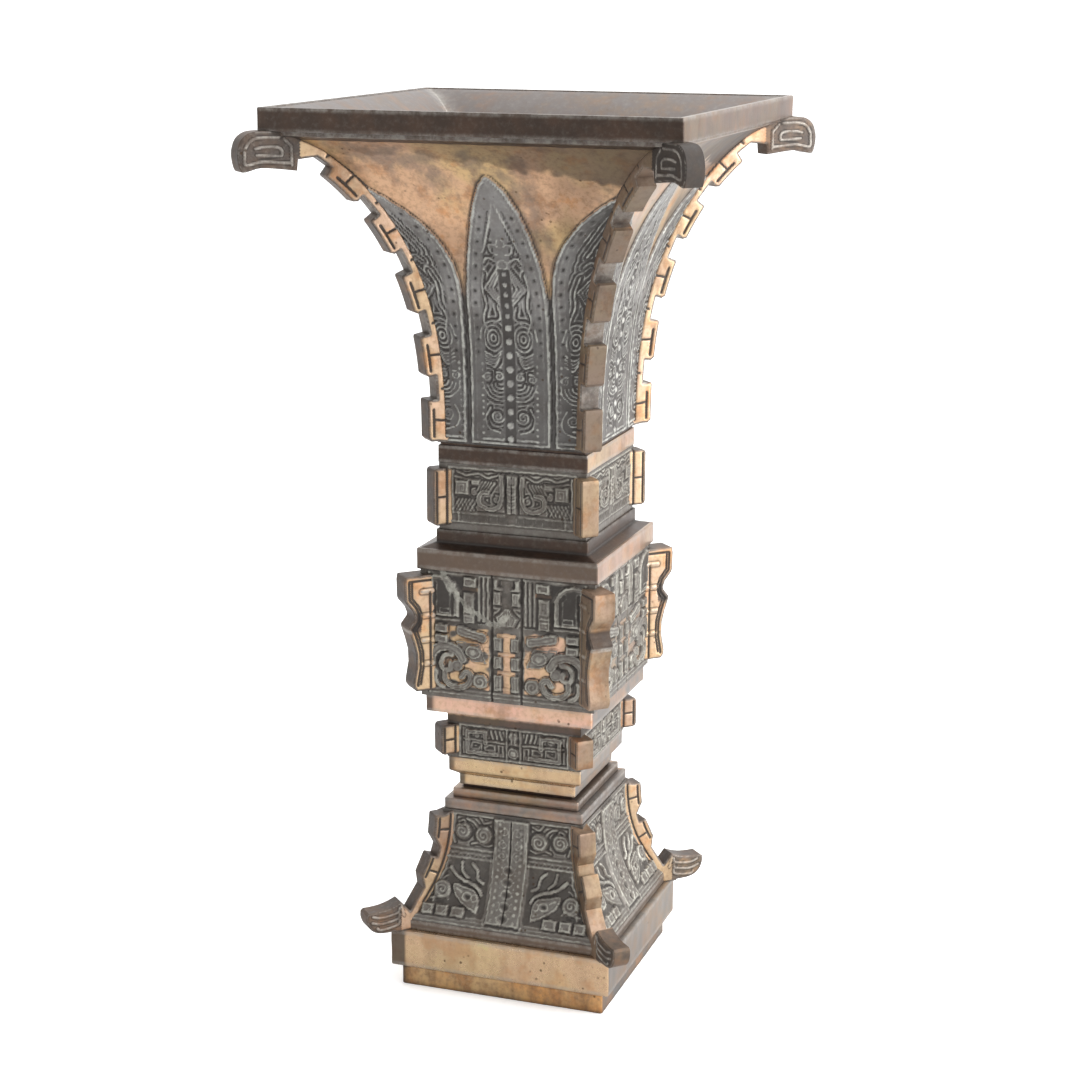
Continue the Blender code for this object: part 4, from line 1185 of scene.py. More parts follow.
def shell(name, inside, rubbed, seed=1, crease_highlight=0.0):
    """A closed shell from a line of (half width, height) points, thickened outwards."""
    down = [(half, z, 0, 0.0, 0.0) for half, z in inside]
    up = [(half + LINING, z, 0, 0.0, 0.0) for half, z in inside]
    up[0] = (inside[0][0] + LINING, inside[0][1] - LIP_DROP, 0, 0.0, 0.0)
    return plain_course(name, down + up[::-1], rubbed, columns=16, uneven=0.08, seed=seed,
                        crease_highlight=crease_highlight, step=8.0)


mouth_line = [(mouth_half(z), z) for z in levels(TRUMPET[0], 417.3, 3.4, mouth_half)][::-1]
mouth_line += [(31.2, 216.0), (38.0, 207.5), (38.0, 149.2), (28.7, 137.0), (28.7, 112.1), (23.2, 102.2)]
# the mouth lining gets a painted highlight along its four creases
shell("mouth_lining", mouth_line, 0.25, seed=14, crease_highlight=0.32)
foot_line = [(46.0, 0.6), (46.0, 33.0)]
foot_line += [(min(foot_half(z) - WALL, 46.0), z) for z in levels(38.0, 86.3, 4.0, foot_half)]
foot_line += [(30.1, 87.4), (23.4, 95.6)]
shell("foot_lining", foot_line[::-1], 0.35, seed=15)
floor_slab = [(12.0, WAIST[0], 0, 0, 0.2), (26.0, WAIST[0], 0, 0, 0.3), (26.0, 102.4, 0, 0, 0.3),
              (12.0, 102.4, 0, 0, 0.2)]
plain_course("well_floor", floor_slab, 0.2, capped=True, seed=16)

# %% [markdown]
# ## Corner flanges
# Flat plates stand on the corners: five teeth and a beak on the trumpet, a bulging hook
# beside each mask, short blocks on the bands, and two teeth and a horn on the foot. Each
# plate is drawn as an outline on the corner's diagonal plane. A fine triangle net fills
# it, so slots can be cut into both flat sides and the edges can be worn round.

# %% Outlines on the diagonal
def corner_line(half_at, start, end):
    """The corner as it is walked: length, distance from the middle line, height, outward."""
    z = np.linspace(start, end, 500)
    r = np.array([half_at(v) for v in z]) * DIAGONAL
    length = np.concatenate([[0.0], np.cumsum(np.hypot(np.diff(r), np.diff(z)))])
    tr, tz = np.gradient(r, length), np.gradient(z, length)
    flip = 1.0 if end > start else -1.0
    return length, r, z, flip * tz, -flip * tr


def at_corner(line, length, out):
    """The point that lies some length along the corner and some way out from it."""
    where, r, z, nr, nz = line
    spot = [float(np.interp(length, where, v)) for v in (r, z, nr, nz)]
    return (spot[0] + spot[2] * out, spot[1] + spot[3] * out)


def along_corner(line, start, end, out, count=10):
    """A row of points that follows the corner."""
    return [at_corner(line, start + (end - start) * i / count, out) for i in range(count + 1)]


def dense(outline, step):
    """The same outline with points no farther apart than about one step."""
    path = []
    for a, b in zip(outline, list(outline[1:]) + [outline[0]]):
        count = max(int(math.dist(a, b) / step), 1)
        path += [(a[0] + (b[0] - a[0]) * i / count, a[1] + (b[1] - a[1]) * i / count) for i in range(count)]
    return path


def plate_net(outline, step):
    """Fine triangle net that fills an outline; returns its points and triangles."""
    edge = dense(outline, step)
    rs = np.array([p[0] for p in edge])
    zs = np.array([p[1] for p in edge])
    grid = []
    row = 0
    z = zs.min()
    while z < zs.max():
        shift = 0.5 * step * (row % 2)
        grid += [(r, z) for r in np.arange(rs.min() + shift, rs.max(), step)]
        z += step * 0.866
        row += 1
    grid = np.array(grid)
    inside = to_edge(grid[:, 0], grid[:, 1], edge)
    grid = grid[inside > 0.45 * step]
    points = [Vector(p) for p in edge] + [Vector(p) for p in grid]
    loop = [list(range(len(edge)))]
    found = delaunay_2d_cdt(points, [], loop, 1, 1e-5, False)
    flat = np.array([tuple(p) for p in found[0]])
    triangles = np.array([list(face) for face in found[2]])
    middles = flat[triangles].mean(axis=1)
    kept = to_edge(middles[:, 0], middles[:, 1], edge) > 0
    return flat, triangles[kept].tolist(), edge


block_net = plate_net(box(0.0, 0.0, 6.0, 20.0), 0.65)
print("a plate of 6 by 20 mm is filled with", len(block_net[1]), "triangles")


# %% [markdown]
# The net is laid on both flat sides, and the rim between them is closed with quads. Every
# side point sinks a little near the outline, which rounds the edge. It sinks more where a
# slot is cut, and rises where a ridge was cast.

# %% Shape of one flange
def slots_and_ridges(r, z, slots, ridges):
    """How far each point lies in a slot, on a ridge, and in the dark line beside a ridge."""
    cut, lift, shade = np.zeros(len(r)), np.zeros(len(r)), np.zeros(len(r))
    for path, width in slots:
        cut = np.maximum(cut, np.exp(-(to_line(r, z, path) / width) ** 2))
    for path, width in ridges:
        off = to_line(r, z, path)
        lift = np.maximum(lift, np.exp(-(off / width) ** 2))
        shade = np.maximum(shade, np.exp(-((off - 1.9 * width) / (0.7 * width)) ** 2))
    return cut, lift, 0.8 * shade * (1.0 - lift)


def plate_faces(triangles, count):
    """Faces of a closed plate: both flat sides, and quads along every edge used only once."""
    used = set()
    for triangle in triangles:
        used.update(zip(triangle, triangle[1:] + triangle[:1]))
    faces = [list(reversed(t)) for t in triangles]
    faces += [[i + count for i in t] for t in triangles]
    for triangle in triangles:
        for a, b in zip(triangle, triangle[1:] + triangle[:1]):
            if (b, a) not in used:
                faces.append([a, b, b + count, a + count])
    return faces


print("one triangle makes a plate of", len(plate_faces([[0, 1, 2]], 3)), "faces")


# %% [markdown]
# All four flanges have one shape, but their marks differ. The front right one has tan
# edges, toned down by tarnish and by painted shade, and a painted shadow on the side
# towards the front. The back right one is a little darker than the left ones. The edges
# of the others are dark.

# %% Build a set of four flanges
BACK_RIGHT, FRONT_RIGHT = 0, 3
# side darkening: the front right flange's side towards the front has a painted shadow, and the back right one
# is a little darker on both sides
GRIME_AND_SHADE = {(BACK_RIGHT, 1): 0.30, (BACK_RIGHT, -1): 0.30, (FRONT_RIGHT, -1): 0.66}
DARK_EDGE = 0.22
ROUNDING, SLOT_DEPTH, RIDGE_HEIGHT = 0.55, 0.6, 0.4  # millimetres


def flange_set(name, outline, thickness, slots, rub_at, step=0.7, ridges=(), edge_rub=0.75,
               film_and_shade=0.52, grey_at=None, highlight_at=None):
    """Four flanges; edge_rub and film are the polish and the darkening on the front right edges,
    the darkening partly tarnish and partly painted shade; grey_at says where those edges stay
    grey, and highlight_at where an edge gets a painted highlight."""
    flat, triangles, edge = plate_net(outline, step)
    r, z = flat[:, 0], flat[:, 1]
    away = to_line(r, z, edge + [edge[0]])
    cut, lift, shade = slots_and_ridges(r, z, slots, ridges)
    offset = 0.5 * thickness - ROUNDING * (1.0 - ease(away)) - SLOT_DEPTH * cut + RIDGE_HEIGHT * lift
    count = len(flat)
    faces = plate_faces(triangles, count)
    side = ease(away / 1.3 - 0.25)
    side_rub = np.array([rub_at(*point) for point in flat])
    grey = np.array([grey_at(*point) for point in flat]) if grey_at else 0.0
    pale = np.array([highlight_at(*point) for point in flat]) if highlight_at else 0.0
    # the last term adds a painted highlight along the edge
    worn = 0.22 * np.exp(-((away - 0.5) / 0.35) ** 2) - 0.9 * cut + 0.5 * lift + pale * (1.0 - side)
    points, all_faces, rubbed, soiled = [], [], [], []
    for turn in range(4):
        angle = math.radians(45 + 90 * turn)
        cos, sin = math.cos(angle), math.sin(angle)
        # the front right edges are darkened, partly tarnish and partly painted shade
        edge_soil = film_and_shade if turn == FRONT_RIGHT else 0.0
        edge_polish = edge_rub if turn == FRONT_RIGHT else DARK_EDGE
        side_polish = 0.10 if turn == BACK_RIGHT else 0.0
        for way in (1, -1):
            t = way * offset
            points.append(np.column_stack([r * cos - t * sin, r * sin + t * cos, z]))
            on_edge = edge_soil * (1.0 - side) * (1.0 - grey)
            side_grime_and_shade = GRIME_AND_SHADE.get((turn, way), 0.0) * side
            soiled.append(np.maximum(np.maximum(0.9 * cut, shade), on_edge + side_grime_and_shade))
            bare_edge = edge_polish * np.minimum(side_rub + 0.2, 1.0) * (1.0 - grey)
            rubbed.append((side_rub + side_polish) * side + bare_edge * (1.0 - side))
        all_faces += [[i + turn * 2 * count for i in face] for face in faces]
    marks = {"crest": np.tile(worn, 8), "rubbed": np.concatenate(rubbed), "soil": np.concatenate(soiled)}
    return make_mesh(name, np.concatenate(points) * MM, all_faces, marks, 38)


print("flange slots are", SLOT_DEPTH, "mm deep, and ridges stand", RIDGE_HEIGHT, "mm")


# %% [markdown]
# The trumpet flange has five teeth and ends in a beak under the rim. The teeth repeat
# along the curve, so a loop draws them. The beak is one smooth outline placed by shares
# of its own length and height, with raised lines on it. The root of each flange is let
# into the corner, so that no gap can show.

# %% The trumpet flanges
FLANGE_ROOT = 5.8


def buried(half_at, heights):
    """The root of a flange, inside the corner."""
    return [(half_at(z) * DIAGONAL - FLANGE_ROOT, z) for z in heights]


def trumpet_teeth(line):
    """Outline and slots of the five teeth, from the bottom up."""
    outline, slots = [], []
    for i in range(5):
        start = 1.2 + i * 30.5
        end = start + 19.6
        outline += [at_corner(line, start, 1.4), at_corner(line, start, 4.6)]
        outline += [at_corner(line, start + 1.6, 6.2)]
        outline += along_corner(line, start + 4.0, end - 1.0, 6.2, 4)
        outline += [at_corner(line, end, 5.8), at_corner(line, end, 1.4)]
        outline += along_corner(line, end + 2.5, end + 8.5, 1.4, 2)
        slots.append((along_corner(line, start + 2.4, end - 4.6, 3.5), 0.50))
        slots.append(([at_corner(line, start + 10.2, 3.4), at_corner(line, start + 9.4, -3.2)], 0.42))
        slots.append(([at_corner(line, end + 4.6, -0.8), at_corner(line, end + 4.2, -4.6)], 0.42))
    slots.append((along_corner(line, 3.0, 148.0, -2.6, 60), 0.42))
    return outline, slots


BEAK_TIP, BEAK_LONG, BEAK_TALL, BEAK_TOP = 102.4, 19.0, 17.3, 407.9
BEAK_HEEL = BEAK_TIP - BEAK_LONG


def beak_spot(out, up):
    """A point of the beak from its shares of length and height."""
    return ((BEAK_HEEL + out * BEAK_LONG) * DIAGONAL, BEAK_TOP - BEAK_TALL + up * BEAK_TALL)


def beak_outline():
    curve = [(0.32, 0.06), (0.62, 0.09), (0.87, 0.00), (0.955, 0.05), (1.00, 0.36), (0.985, 0.60),
             (0.92, 0.82), (0.78, 0.965), (0.60, 1.00)]
    shares = [(-0.02, 0.28), (0.0, 0.0)] + smooth(curve, 4) + [(0.17, 1.0)]
    return [beak_spot(*p) for p in shares]


def beak_ridges():
    """The raised pale lines on the beak, each with its width."""
    border = smooth([(0.10, 0.20), (0.30, 0.22), (0.60, 0.25), (0.86, 0.18), (0.88, 0.40), (0.86, 0.60),
                     (0.76, 0.78), (0.60, 0.84), (0.30, 0.84)], 5)
    bend = smooth([(0.26, 0.38), (0.26, 0.52), (0.34, 0.60), (0.56, 0.61), (0.70, 0.57)], 5)
    lines = [(border, 0.48), ([(0.09, 0.14), (0.10, 0.62), (0.22, 0.80)], 0.48), (bend, 0.48),
             ([(0.26, 0.38), (0.68, 0.41)], 0.45)]
    return [([beak_spot(*p) for p in path], width) for path, width in lines]


def trumpet_rub(r, z):
    """The beak kept its patina, and the teeth were polished."""
    return 0.18 if r > (BEAK_HEEL - 1.0) * DIAGONAL and z > 388 else 0.98


def between_teeth(r, z):
    """One in the gaps between the teeth, where no hand has rubbed, and zero on the teeth."""
    reach = (trumpet_half(z + 0.5) - trumpet_half(z - 0.5)) * DIAGONAL
    out = (r - trumpet_half(z) * DIAGONAL) / math.hypot(1.0, reach)
    return float(ease((4.4 - out) / 1.0)) * float(z < 388.0)


corner = corner_line(trumpet_half, TRUMPET[0], TRUMPET[1])
outline, slots = trumpet_teeth(corner)
outline += beak_outline()
root_heights = [TRUMPET[0] + 140.9 * math.sin(0.5 * math.pi * i / 26) for i in range(25)]
outline += buried(trumpet_half, root_heights[::-1])
# between the teeth the edges stay grey, with a faint painted highlight
flange_set("trumpet_flanges", outline, 9.5, slots, trumpet_rub, 0.78, beak_ridges(), film_and_shade=0.72,
           grey_at=between_teeth, highlight_at=lambda r, z: 0.16 * between_teeth(r, z))


# %% [markdown]
# Beside each mask stands a flange that bulges twice, like a hook and its chin. A slot
# follows its edge, and four bars are cast across its root. The notch between the two
# bulges is kept dark as painted shade, and the upward face of its lower lip has a painted
# highlight.

# %% The mask flanges
def inset(outline, amount):
    """A line drawn inside an outline, used for slots that follow the edge."""
    path = []
    for before, here, after in zip([outline[-1]] + outline[:-1], outline, outline[1:] + [outline[0]]):
        way = Vector(after) - Vector(before)
        inward = Vector((-way.y, way.x)).normalized()
        path.append((here[0] + inward.x * amount, here[1] + inward.y * amount))
    return path


def mask_flange():
    """Outline, slots and ridges of the hooked plate beside a mask."""
    edge, reach = MASK[2] * DIAGONAL, 7.2 * DIAGONAL
    low, top = MASK[0] + 3.4, MASK[1] - 2.3
    tall = top - low
    shares = [(0.44, 0.00), (0.58, 0.035), (0.60, 0.07), (0.45, 0.22), (0.47, 0.33), (0.62, 0.44),
              (0.80, 0.535), (0.80, 0.56), (0.52, 0.625), (0.50, 0.65), (0.60, 0.70), (0.93, 0.775),
              (0.98, 0.80), (1.00, 0.95), (0.96, 0.995), (0.90, 1.0)]
    curve = [(edge + reach * out, low + tall * up) for out, up in shares]
    outline = [(edge - FLANGE_ROOT, low)] + curve + [(edge - FLANGE_ROOT, top)]
    follow = inset(curve, 2.2)[1:-1]
    follow[-1] = (follow[-1][0], top - 2.4)
    slots = [(follow, 0.5), (inset(curve, 3.6)[2:-2], 0.4)]
    slots.append(([follow[-1], (edge - 3.5, top - 2.4)], 0.5))
    slots.append(([(edge - 2.6, low + 1.0), (edge - 2.6, top - 8.0)], 0.45))
    ridges = [([(edge - 4.8, z), (edge + 1.6, z)], 0.8) for z in (161.3, 172.6, 184.4, 196.0)]
    return outline, slots, ridges


def mask_rub(r, z):
    """Polished, less so in the upper half; the notch of the hook is kept dark as painted shade."""
    # painted shade: the notch of the hook stays unpolished, so it reads dark
    notch = math.exp(-((z - NOTCH) / 4.4) ** 4) * float(r > MASK[2] * DIAGONAL + 2.0)
    return 0.92 - 0.22 * float(ease((z - 170.0) / 6.0)) - 0.9 * notch


# a painted highlight on the upward face of the notch's lower lip
def lip_highlight(r, z):
    return 0.6 * math.exp(-((z - LIP) / 0.8) ** 2)


NOTCH, LIP = 181.2, 177.0
outline, slots, ridges = mask_flange()
flange_set("mask_flanges", outline, 11.0, slots, mask_rub, 0.62, ridges, edge_rub=0.85, highlight_at=lip_highlight)


# %% [markdown]
# The flanges of the two bands are short plain blocks with a slot along the edge, one along
# the root and one across. One function draws both from their course.

# %% The band flanges
def band_flange(course, reach, low_gap, top_gap):
    """Outline and slots of a block that stands on a course, with a gap below and above."""
    edge = course[2] * DIAGONAL
    low, top = course[0] + low_gap, course[1] - top_gap
    out = edge + reach * DIAGONAL
    middle = 0.5 * (low + top)
    outline = [(edge - FLANGE_ROOT, low), (out - 1.8, low), (out - 0.4, low + 0.7), (out, low + 1.8),
               (out, top - 1.6), (out - 0.5, top - 0.4), (out - 1.6, top), (edge - FLANGE_ROOT, top)]
    slots = [([(out - 1.7, low + 1.5), (out - 1.7, top - 1.5)], 0.45),
             ([(edge - 2.2, low + 0.5), (edge - 2.2, top - 0.5)], 0.45),
             ([(out - 1.7, middle), (edge - 1.4, middle)], 0.40)]
    return outline, slots


outline, slots = band_flange(NECK_BAND, 3.2, 2.2, 2.2)
flange_set("neck_flanges", outline, 9.0, slots, lambda r, z: 0.8, 0.65)
outline, slots = band_flange(LOW_BAND, 3.5, 2.2, 7.3)
flange_set("low_flanges", outline, 9.0, slots, lambda r, z: 0.7, 0.6, edge_rub=0.7)


# %% [markdown]
# The foot flange has two teeth and ends in a horn that curls up from the base block. The
# horn carries raised ribs that follow its curl.

# %% The foot flanges
def foot_teeth(line):
    """Outline and slots of the two teeth, from the top down."""
    outline, slots = [], []
    for i in range(2):
        start = 2.0 + i * 21.5
        end = start + 12.0
        tooth = ((start, 1.5), (start, 4.9), (start + 0.5, 5.3), (end - 0.4, 5.3), (end + 0.5, 4.6),
                 (end + 4.5, 1.5))
        outline += [at_corner(line, length, out) for length, out in tooth]
        slots.append((along_corner(line, start + 1.4, end - 0.6, 3.2), 0.45))
        slots.append(([at_corner(line, start + 7.4, 3.0), at_corner(line, start + 7.4, -2.4)], 0.42))
    slots.append((along_corner(line, 2.0, 46.0, -2.4, 30), 0.42))
    return outline, slots


HORN_HEEL, HORN_LOW = COVE[2], BLOCK[1]
HORN_LONG, HORN_TALL = 12.6, 14.6
SUNK = 0.5  # how far the horn's foot sinks into the block


def horn_spot(out, up):
    """A point of the horn from its shares of length and height."""
    return ((HORN_HEEL + out * HORN_LONG) * DIAGONAL, HORN_LOW + up * HORN_TALL)


def horn_outline():
    top = smooth([(0.0, 1.0), (0.20, 0.90), (0.45, 0.82), (0.72, 0.79), (0.93, 0.79)], 4)
    belly = smooth([(1.0, 0.72), (1.0, 0.52), (0.92, 0.27), (0.75, 0.09), (0.52, 0.02), (0.19, 0.01)], 4)
    outline = [horn_spot(*p) for p in [(-0.26, 0.64)] + top + belly]
    heel = HORN_HEEL * DIAGONAL
    return outline + [(heel + 2.8, HORN_LOW - SUNK), (heel - FLANGE_ROOT, HORN_LOW - SUNK)]


def horn_ridges():
    """A line across the heel, and three ribs that follow the curl."""
    ridges = [([horn_spot(0.00, 0.86), horn_spot(-0.08, 0.52)], 0.42)]
    for base, size in ((0.66, 0.82), (0.45, 0.84), (0.24, 0.70)):
        rib = smooth([(0.06, base + 0.16), (0.10, base + 0.01), (0.40, base - 0.07),
                      (0.62, base - 0.08), (size, base)], 5)
        ridges.append(([horn_spot(*p) for p in rib], 0.48))
    return ridges


corner = corner_line(foot_half, FOOT[1], FOOT[0])
outline, slots = foot_teeth(corner)
outline += horn_outline()
root_heights = [FOOT[1] - 52.3 * math.sin(0.5 * math.pi * i / 16) for i in range(17)]
outline += buried(foot_half, root_heights[::-1])
flange_set("foot_flanges", outline, 9.0, slots,
           lambda r, z: 0.28 if r > HORN_HEEL * DIAGONAL else 0.75, 0.65, horn_ridges())

# %% [markdown]
# ## Old bronze as a material
# The surface has layers. Bare metal, gold in some places and rose in others, shows where
# hands and cloth have rubbed, and also stands for a painted sheen. Dark grey-brown patina
# covers the relief. Soil and painted shade lie in the hollows, and pale dust with a few
# painted highlights on the worn crests of the lines. One node group mixes them from the marks
# stored on the mesh. These helpers place a node and link its inputs in one line, so that the
# group reads like a recipe.

# %% Helpers for nodes
def node(tree, kind, where=(0, 0), **values):
    made = tree.nodes.new(kind)
    made.location = where
    for key_name, value in values.items():
        setattr(made, key_name, value)
    return made


def math_node(tree, operation, a, b=None, c=None, clamp=False):
    """A maths node; each input is a number or another node's output."""
    made = node(tree, 'ShaderNodeMath', operation=operation, use_clamp=clamp)
    for i, value in enumerate((a, b, c)):
        if value is None:
            continue
        if isinstance(value, (int, float)):
            made.inputs[i].default_value = value
        else:
            tree.links.new(value, made.inputs[i])
    return made.outputs[0]


def blend_node(tree, share, a, b):
    """Colour a turns into colour b as share goes from zero to one."""
    made = node(tree, 'ShaderNodeMix', data_type='RGBA', blend_type='MIX', clamp_factor=True)
    for socket, value in ((made.inputs[0], share), (made.inputs[6], a), (made.inputs[7], b)):
        if isinstance(value, (int, float, tuple)):
            socket.default_value = value
        else:
            tree.links.new(value, socket)
    return made.outputs[2]


def between(tree, value, low, high, to_low=0.0, to_high=1.0):
    """A soft step from to_low to to_high while the value goes from low to high."""
    made = node(tree, 'ShaderNodeMapRange', interpolation_type='SMOOTHSTEP')
    made.inputs[1].default_value = low
    made.inputs[2].default_value = high
    made.inputs[3].default_value = to_low
    made.inputs[4].default_value = to_high
    tree.links.new(value, made.inputs[0])
    return made.outputs[0]


def cloud_node(tree, place, scale, detail=4.0, rough=0.6, stretch=None, shift=0.0):
    """Noise; a shift moves it, so that two clouds don't fall in the same places."""
    source = place
    if stretch or shift:
        mapping = node(tree, 'ShaderNodeMapping')
        mapping.inputs['Scale'].default_value = stretch or (1, 1, 1)
        mapping.inputs['Location'].default_value = (shift, 2.3 * shift, 0.7 * shift)
        tree.links.new(place, mapping.inputs[0])
        source = mapping.outputs[0]
    made = node(tree, 'ShaderNodeTexNoise')
    made.inputs['Scale'].default_value = scale
    made.inputs['Detail'].default_value = detail
    made.inputs['Roughness'].default_value = rough
    tree.links.new(source, made.inputs['Vector'])
    return made.outputs[0]


BARE_SCALE, MOTTLE_SCALE, FINE_SCALE, STREAK_SCALE = 26.0, 85.0, 420.0, 60.0
print("the finest cloud has grains of about", round(1000 / FINE_SCALE, 1), "mm")


# %% [markdown]
# The group's inputs are the colours of the layers and how much of each there is. First
# comes the bare metal: gold and rose in broad clouds, orange and yellow-green touches, a
# fine brown speckle and dull streaks.

# %% Sockets of the group, and its bare metal
SOCKETS_IN = (("Bare gold", 'NodeSocketColor', (0.60, 0.42, 0.24, 1)),
              ("Bare rose", 'NodeSocketColor', (0.62, 0.38, 0.28, 1)),
              ("Tarnish", 'NodeSocketColor', (0.16, 0.10, 0.065, 1)),
              ("Patina", 'NodeSocketColor', (0.135, 0.125, 0.118, 1)),
              ("Dust", 'NodeSocketColor', (0.36, 0.34, 0.31, 1)),
              ("Tarnish amount", 'NodeSocketFloat', 0.5),
              ("Dust amount", 'NodeSocketFloat', 1.0),
              ("Pit amount", 'NodeSocketFloat', 1.0),
              ("Patchiness", 'NodeSocketFloat', 0.7),
              ("Gloss", 'NodeSocketFloat', 0.0))
SOCKETS_OUT = (("Colour", 'NodeSocketColor'), ("Roughness", 'NodeSocketFloat'),
               ("Metal", 'NodeSocketFloat'), ("Height", 'NodeSocketFloat'))
ORANGE = (0.62, 0.28, 0.10, 1)
GREENISH = (0.50, 0.46, 0.20, 1)
SPECKLE = (0.34, 0.21, 0.12, 1)
# the next colour serves both soil and painted shade
SOIL_AND_SHADE = (0.022, 0.017, 0.014, 1)
PIT = (0.06, 0.035, 0.02, 1)


def name_sockets(group):
    for name, kind, value in SOCKETS_IN:
        socket = group.interface.new_socket(name, in_out='INPUT', socket_type=kind)
        socket.default_value = value
    for name, kind in SOCKETS_OUT:
        group.interface.new_socket(name, in_out='OUTPUT', socket_type=kind)


def bare_metal(group, ask, place, mottle, fine):
    """Colour of the rubbed metal."""
    broad = cloud_node(group, place, BARE_SCALE, 3.0)
    streak = cloud_node(group, place, STREAK_SCALE, 4.0, 0.6, (1.0, 1.0, 0.16), 5.0)
    tarnish = ask["Tarnish amount"]
    bare = blend_node(group, between(group, broad, 0.40, 0.62), ask["Bare gold"], ask["Bare rose"])
    orange = math_node(group, 'MULTIPLY', between(group, mottle, 0.50, 0.66), tarnish)
    bare = blend_node(group, orange, bare, ORANGE)
    in_gold = between(group, broad, 0.56, 0.40)
    greenish = math_node(group, 'MULTIPLY', between(group, mottle, 0.34, 0.24), in_gold)
    bare = blend_node(group, math_node(group, 'MULTIPLY', greenish, 0.75), bare, GREENISH)
    speckle = math_node(group, 'MULTIPLY', between(group, fine, 0.42, 0.70), tarnish)
    bare = blend_node(group, speckle, bare, SPECKLE)
    streaky = math_node(group, 'ADD', streak, math_node(group, 'MULTIPLY', mottle, 0.5))
    dull = math_node(group, 'MULTIPLY', between(group, streaky, 0.68, 0.92), tarnish)
    return blend_node(group, dull, bare, ask["Tarnish"])


print("the group takes", len(SOCKETS_IN), "inputs and gives", len(SOCKETS_OUT), "outputs")


# %% [markdown]
# Over the bare metal lies the dark patina, then soil and painted shade in the hollows and
# broken dust, with some painted highlights, on the crests. Small casting pits come last, from
# the cells of a Voronoi texture, and only where a cloud allows them.

# %% Patina, soil, dust and pits
def dark_patina(group, ask, mottle, fine):
    """Uneven dark patina with a little dust in its grain."""
    mixed = between(group, mottle, 0.35, 0.70, 0.0, 0.6)
    dark = blend_node(group, mixed, ask["Patina"], ask["Tarnish"])
    grain = math_node(group, 'MULTIPLY', between(group, fine, 0.45, 0.80, 0.0, 0.22), ask["Dust amount"])
    return blend_node(group, grain, dark, ask["Dust"])


def crest_dust_and_highlight(group, ask, place, crest, fine):
    """How much pale dust and painted highlight there is; it is worn away in places."""
    on_crest = between(group, crest, 0.03, 0.38)
    dusty = math_node(group, 'MULTIPLY', on_crest, between(group, fine, 0.25, 0.62, 0.35, 1.0))
    cloud = cloud_node(group, place, 150.0, 4.0, 0.65, shift=17.0)
    dusty = math_node(group, 'MULTIPLY', dusty, between(group, cloud, 0.38, 0.58, 0.35, 1.0))
    return math_node(group, 'MULTIPLY', dusty, ask["Dust amount"], clamp=True)


def casting_pits(group, ask, place):
    """One inside a pit, zero elsewhere."""
    cells = node(group, 'ShaderNodeTexVoronoi')
    cells.inputs['Scale'].default_value = 260.0
    group.links.new(place, cells.inputs['Vector'])
    pit = between(group, cells.outputs['Distance'], 0.24, 0.10)
    cloud = cloud_node(group, place, 120.0, 2.0, 0.5, shift=11.0)
    pit = math_node(group, 'MULTIPLY', pit, between(group, cloud, 0.55, 0.66))
    return math_node(group, 'MULTIPLY', pit, ask["Pit amount"], clamp=True)


print("soil colour", SOIL_AND_SHADE[:3], "and pit colour", PIT[:3])


# %% [markdown]
# The marks on the mesh decide which layer shows. Roughness, metal and height follow the
# same masks, so bare places shine, hollows with soil and painted shade are dull and not
# metallic, and pits are also low.

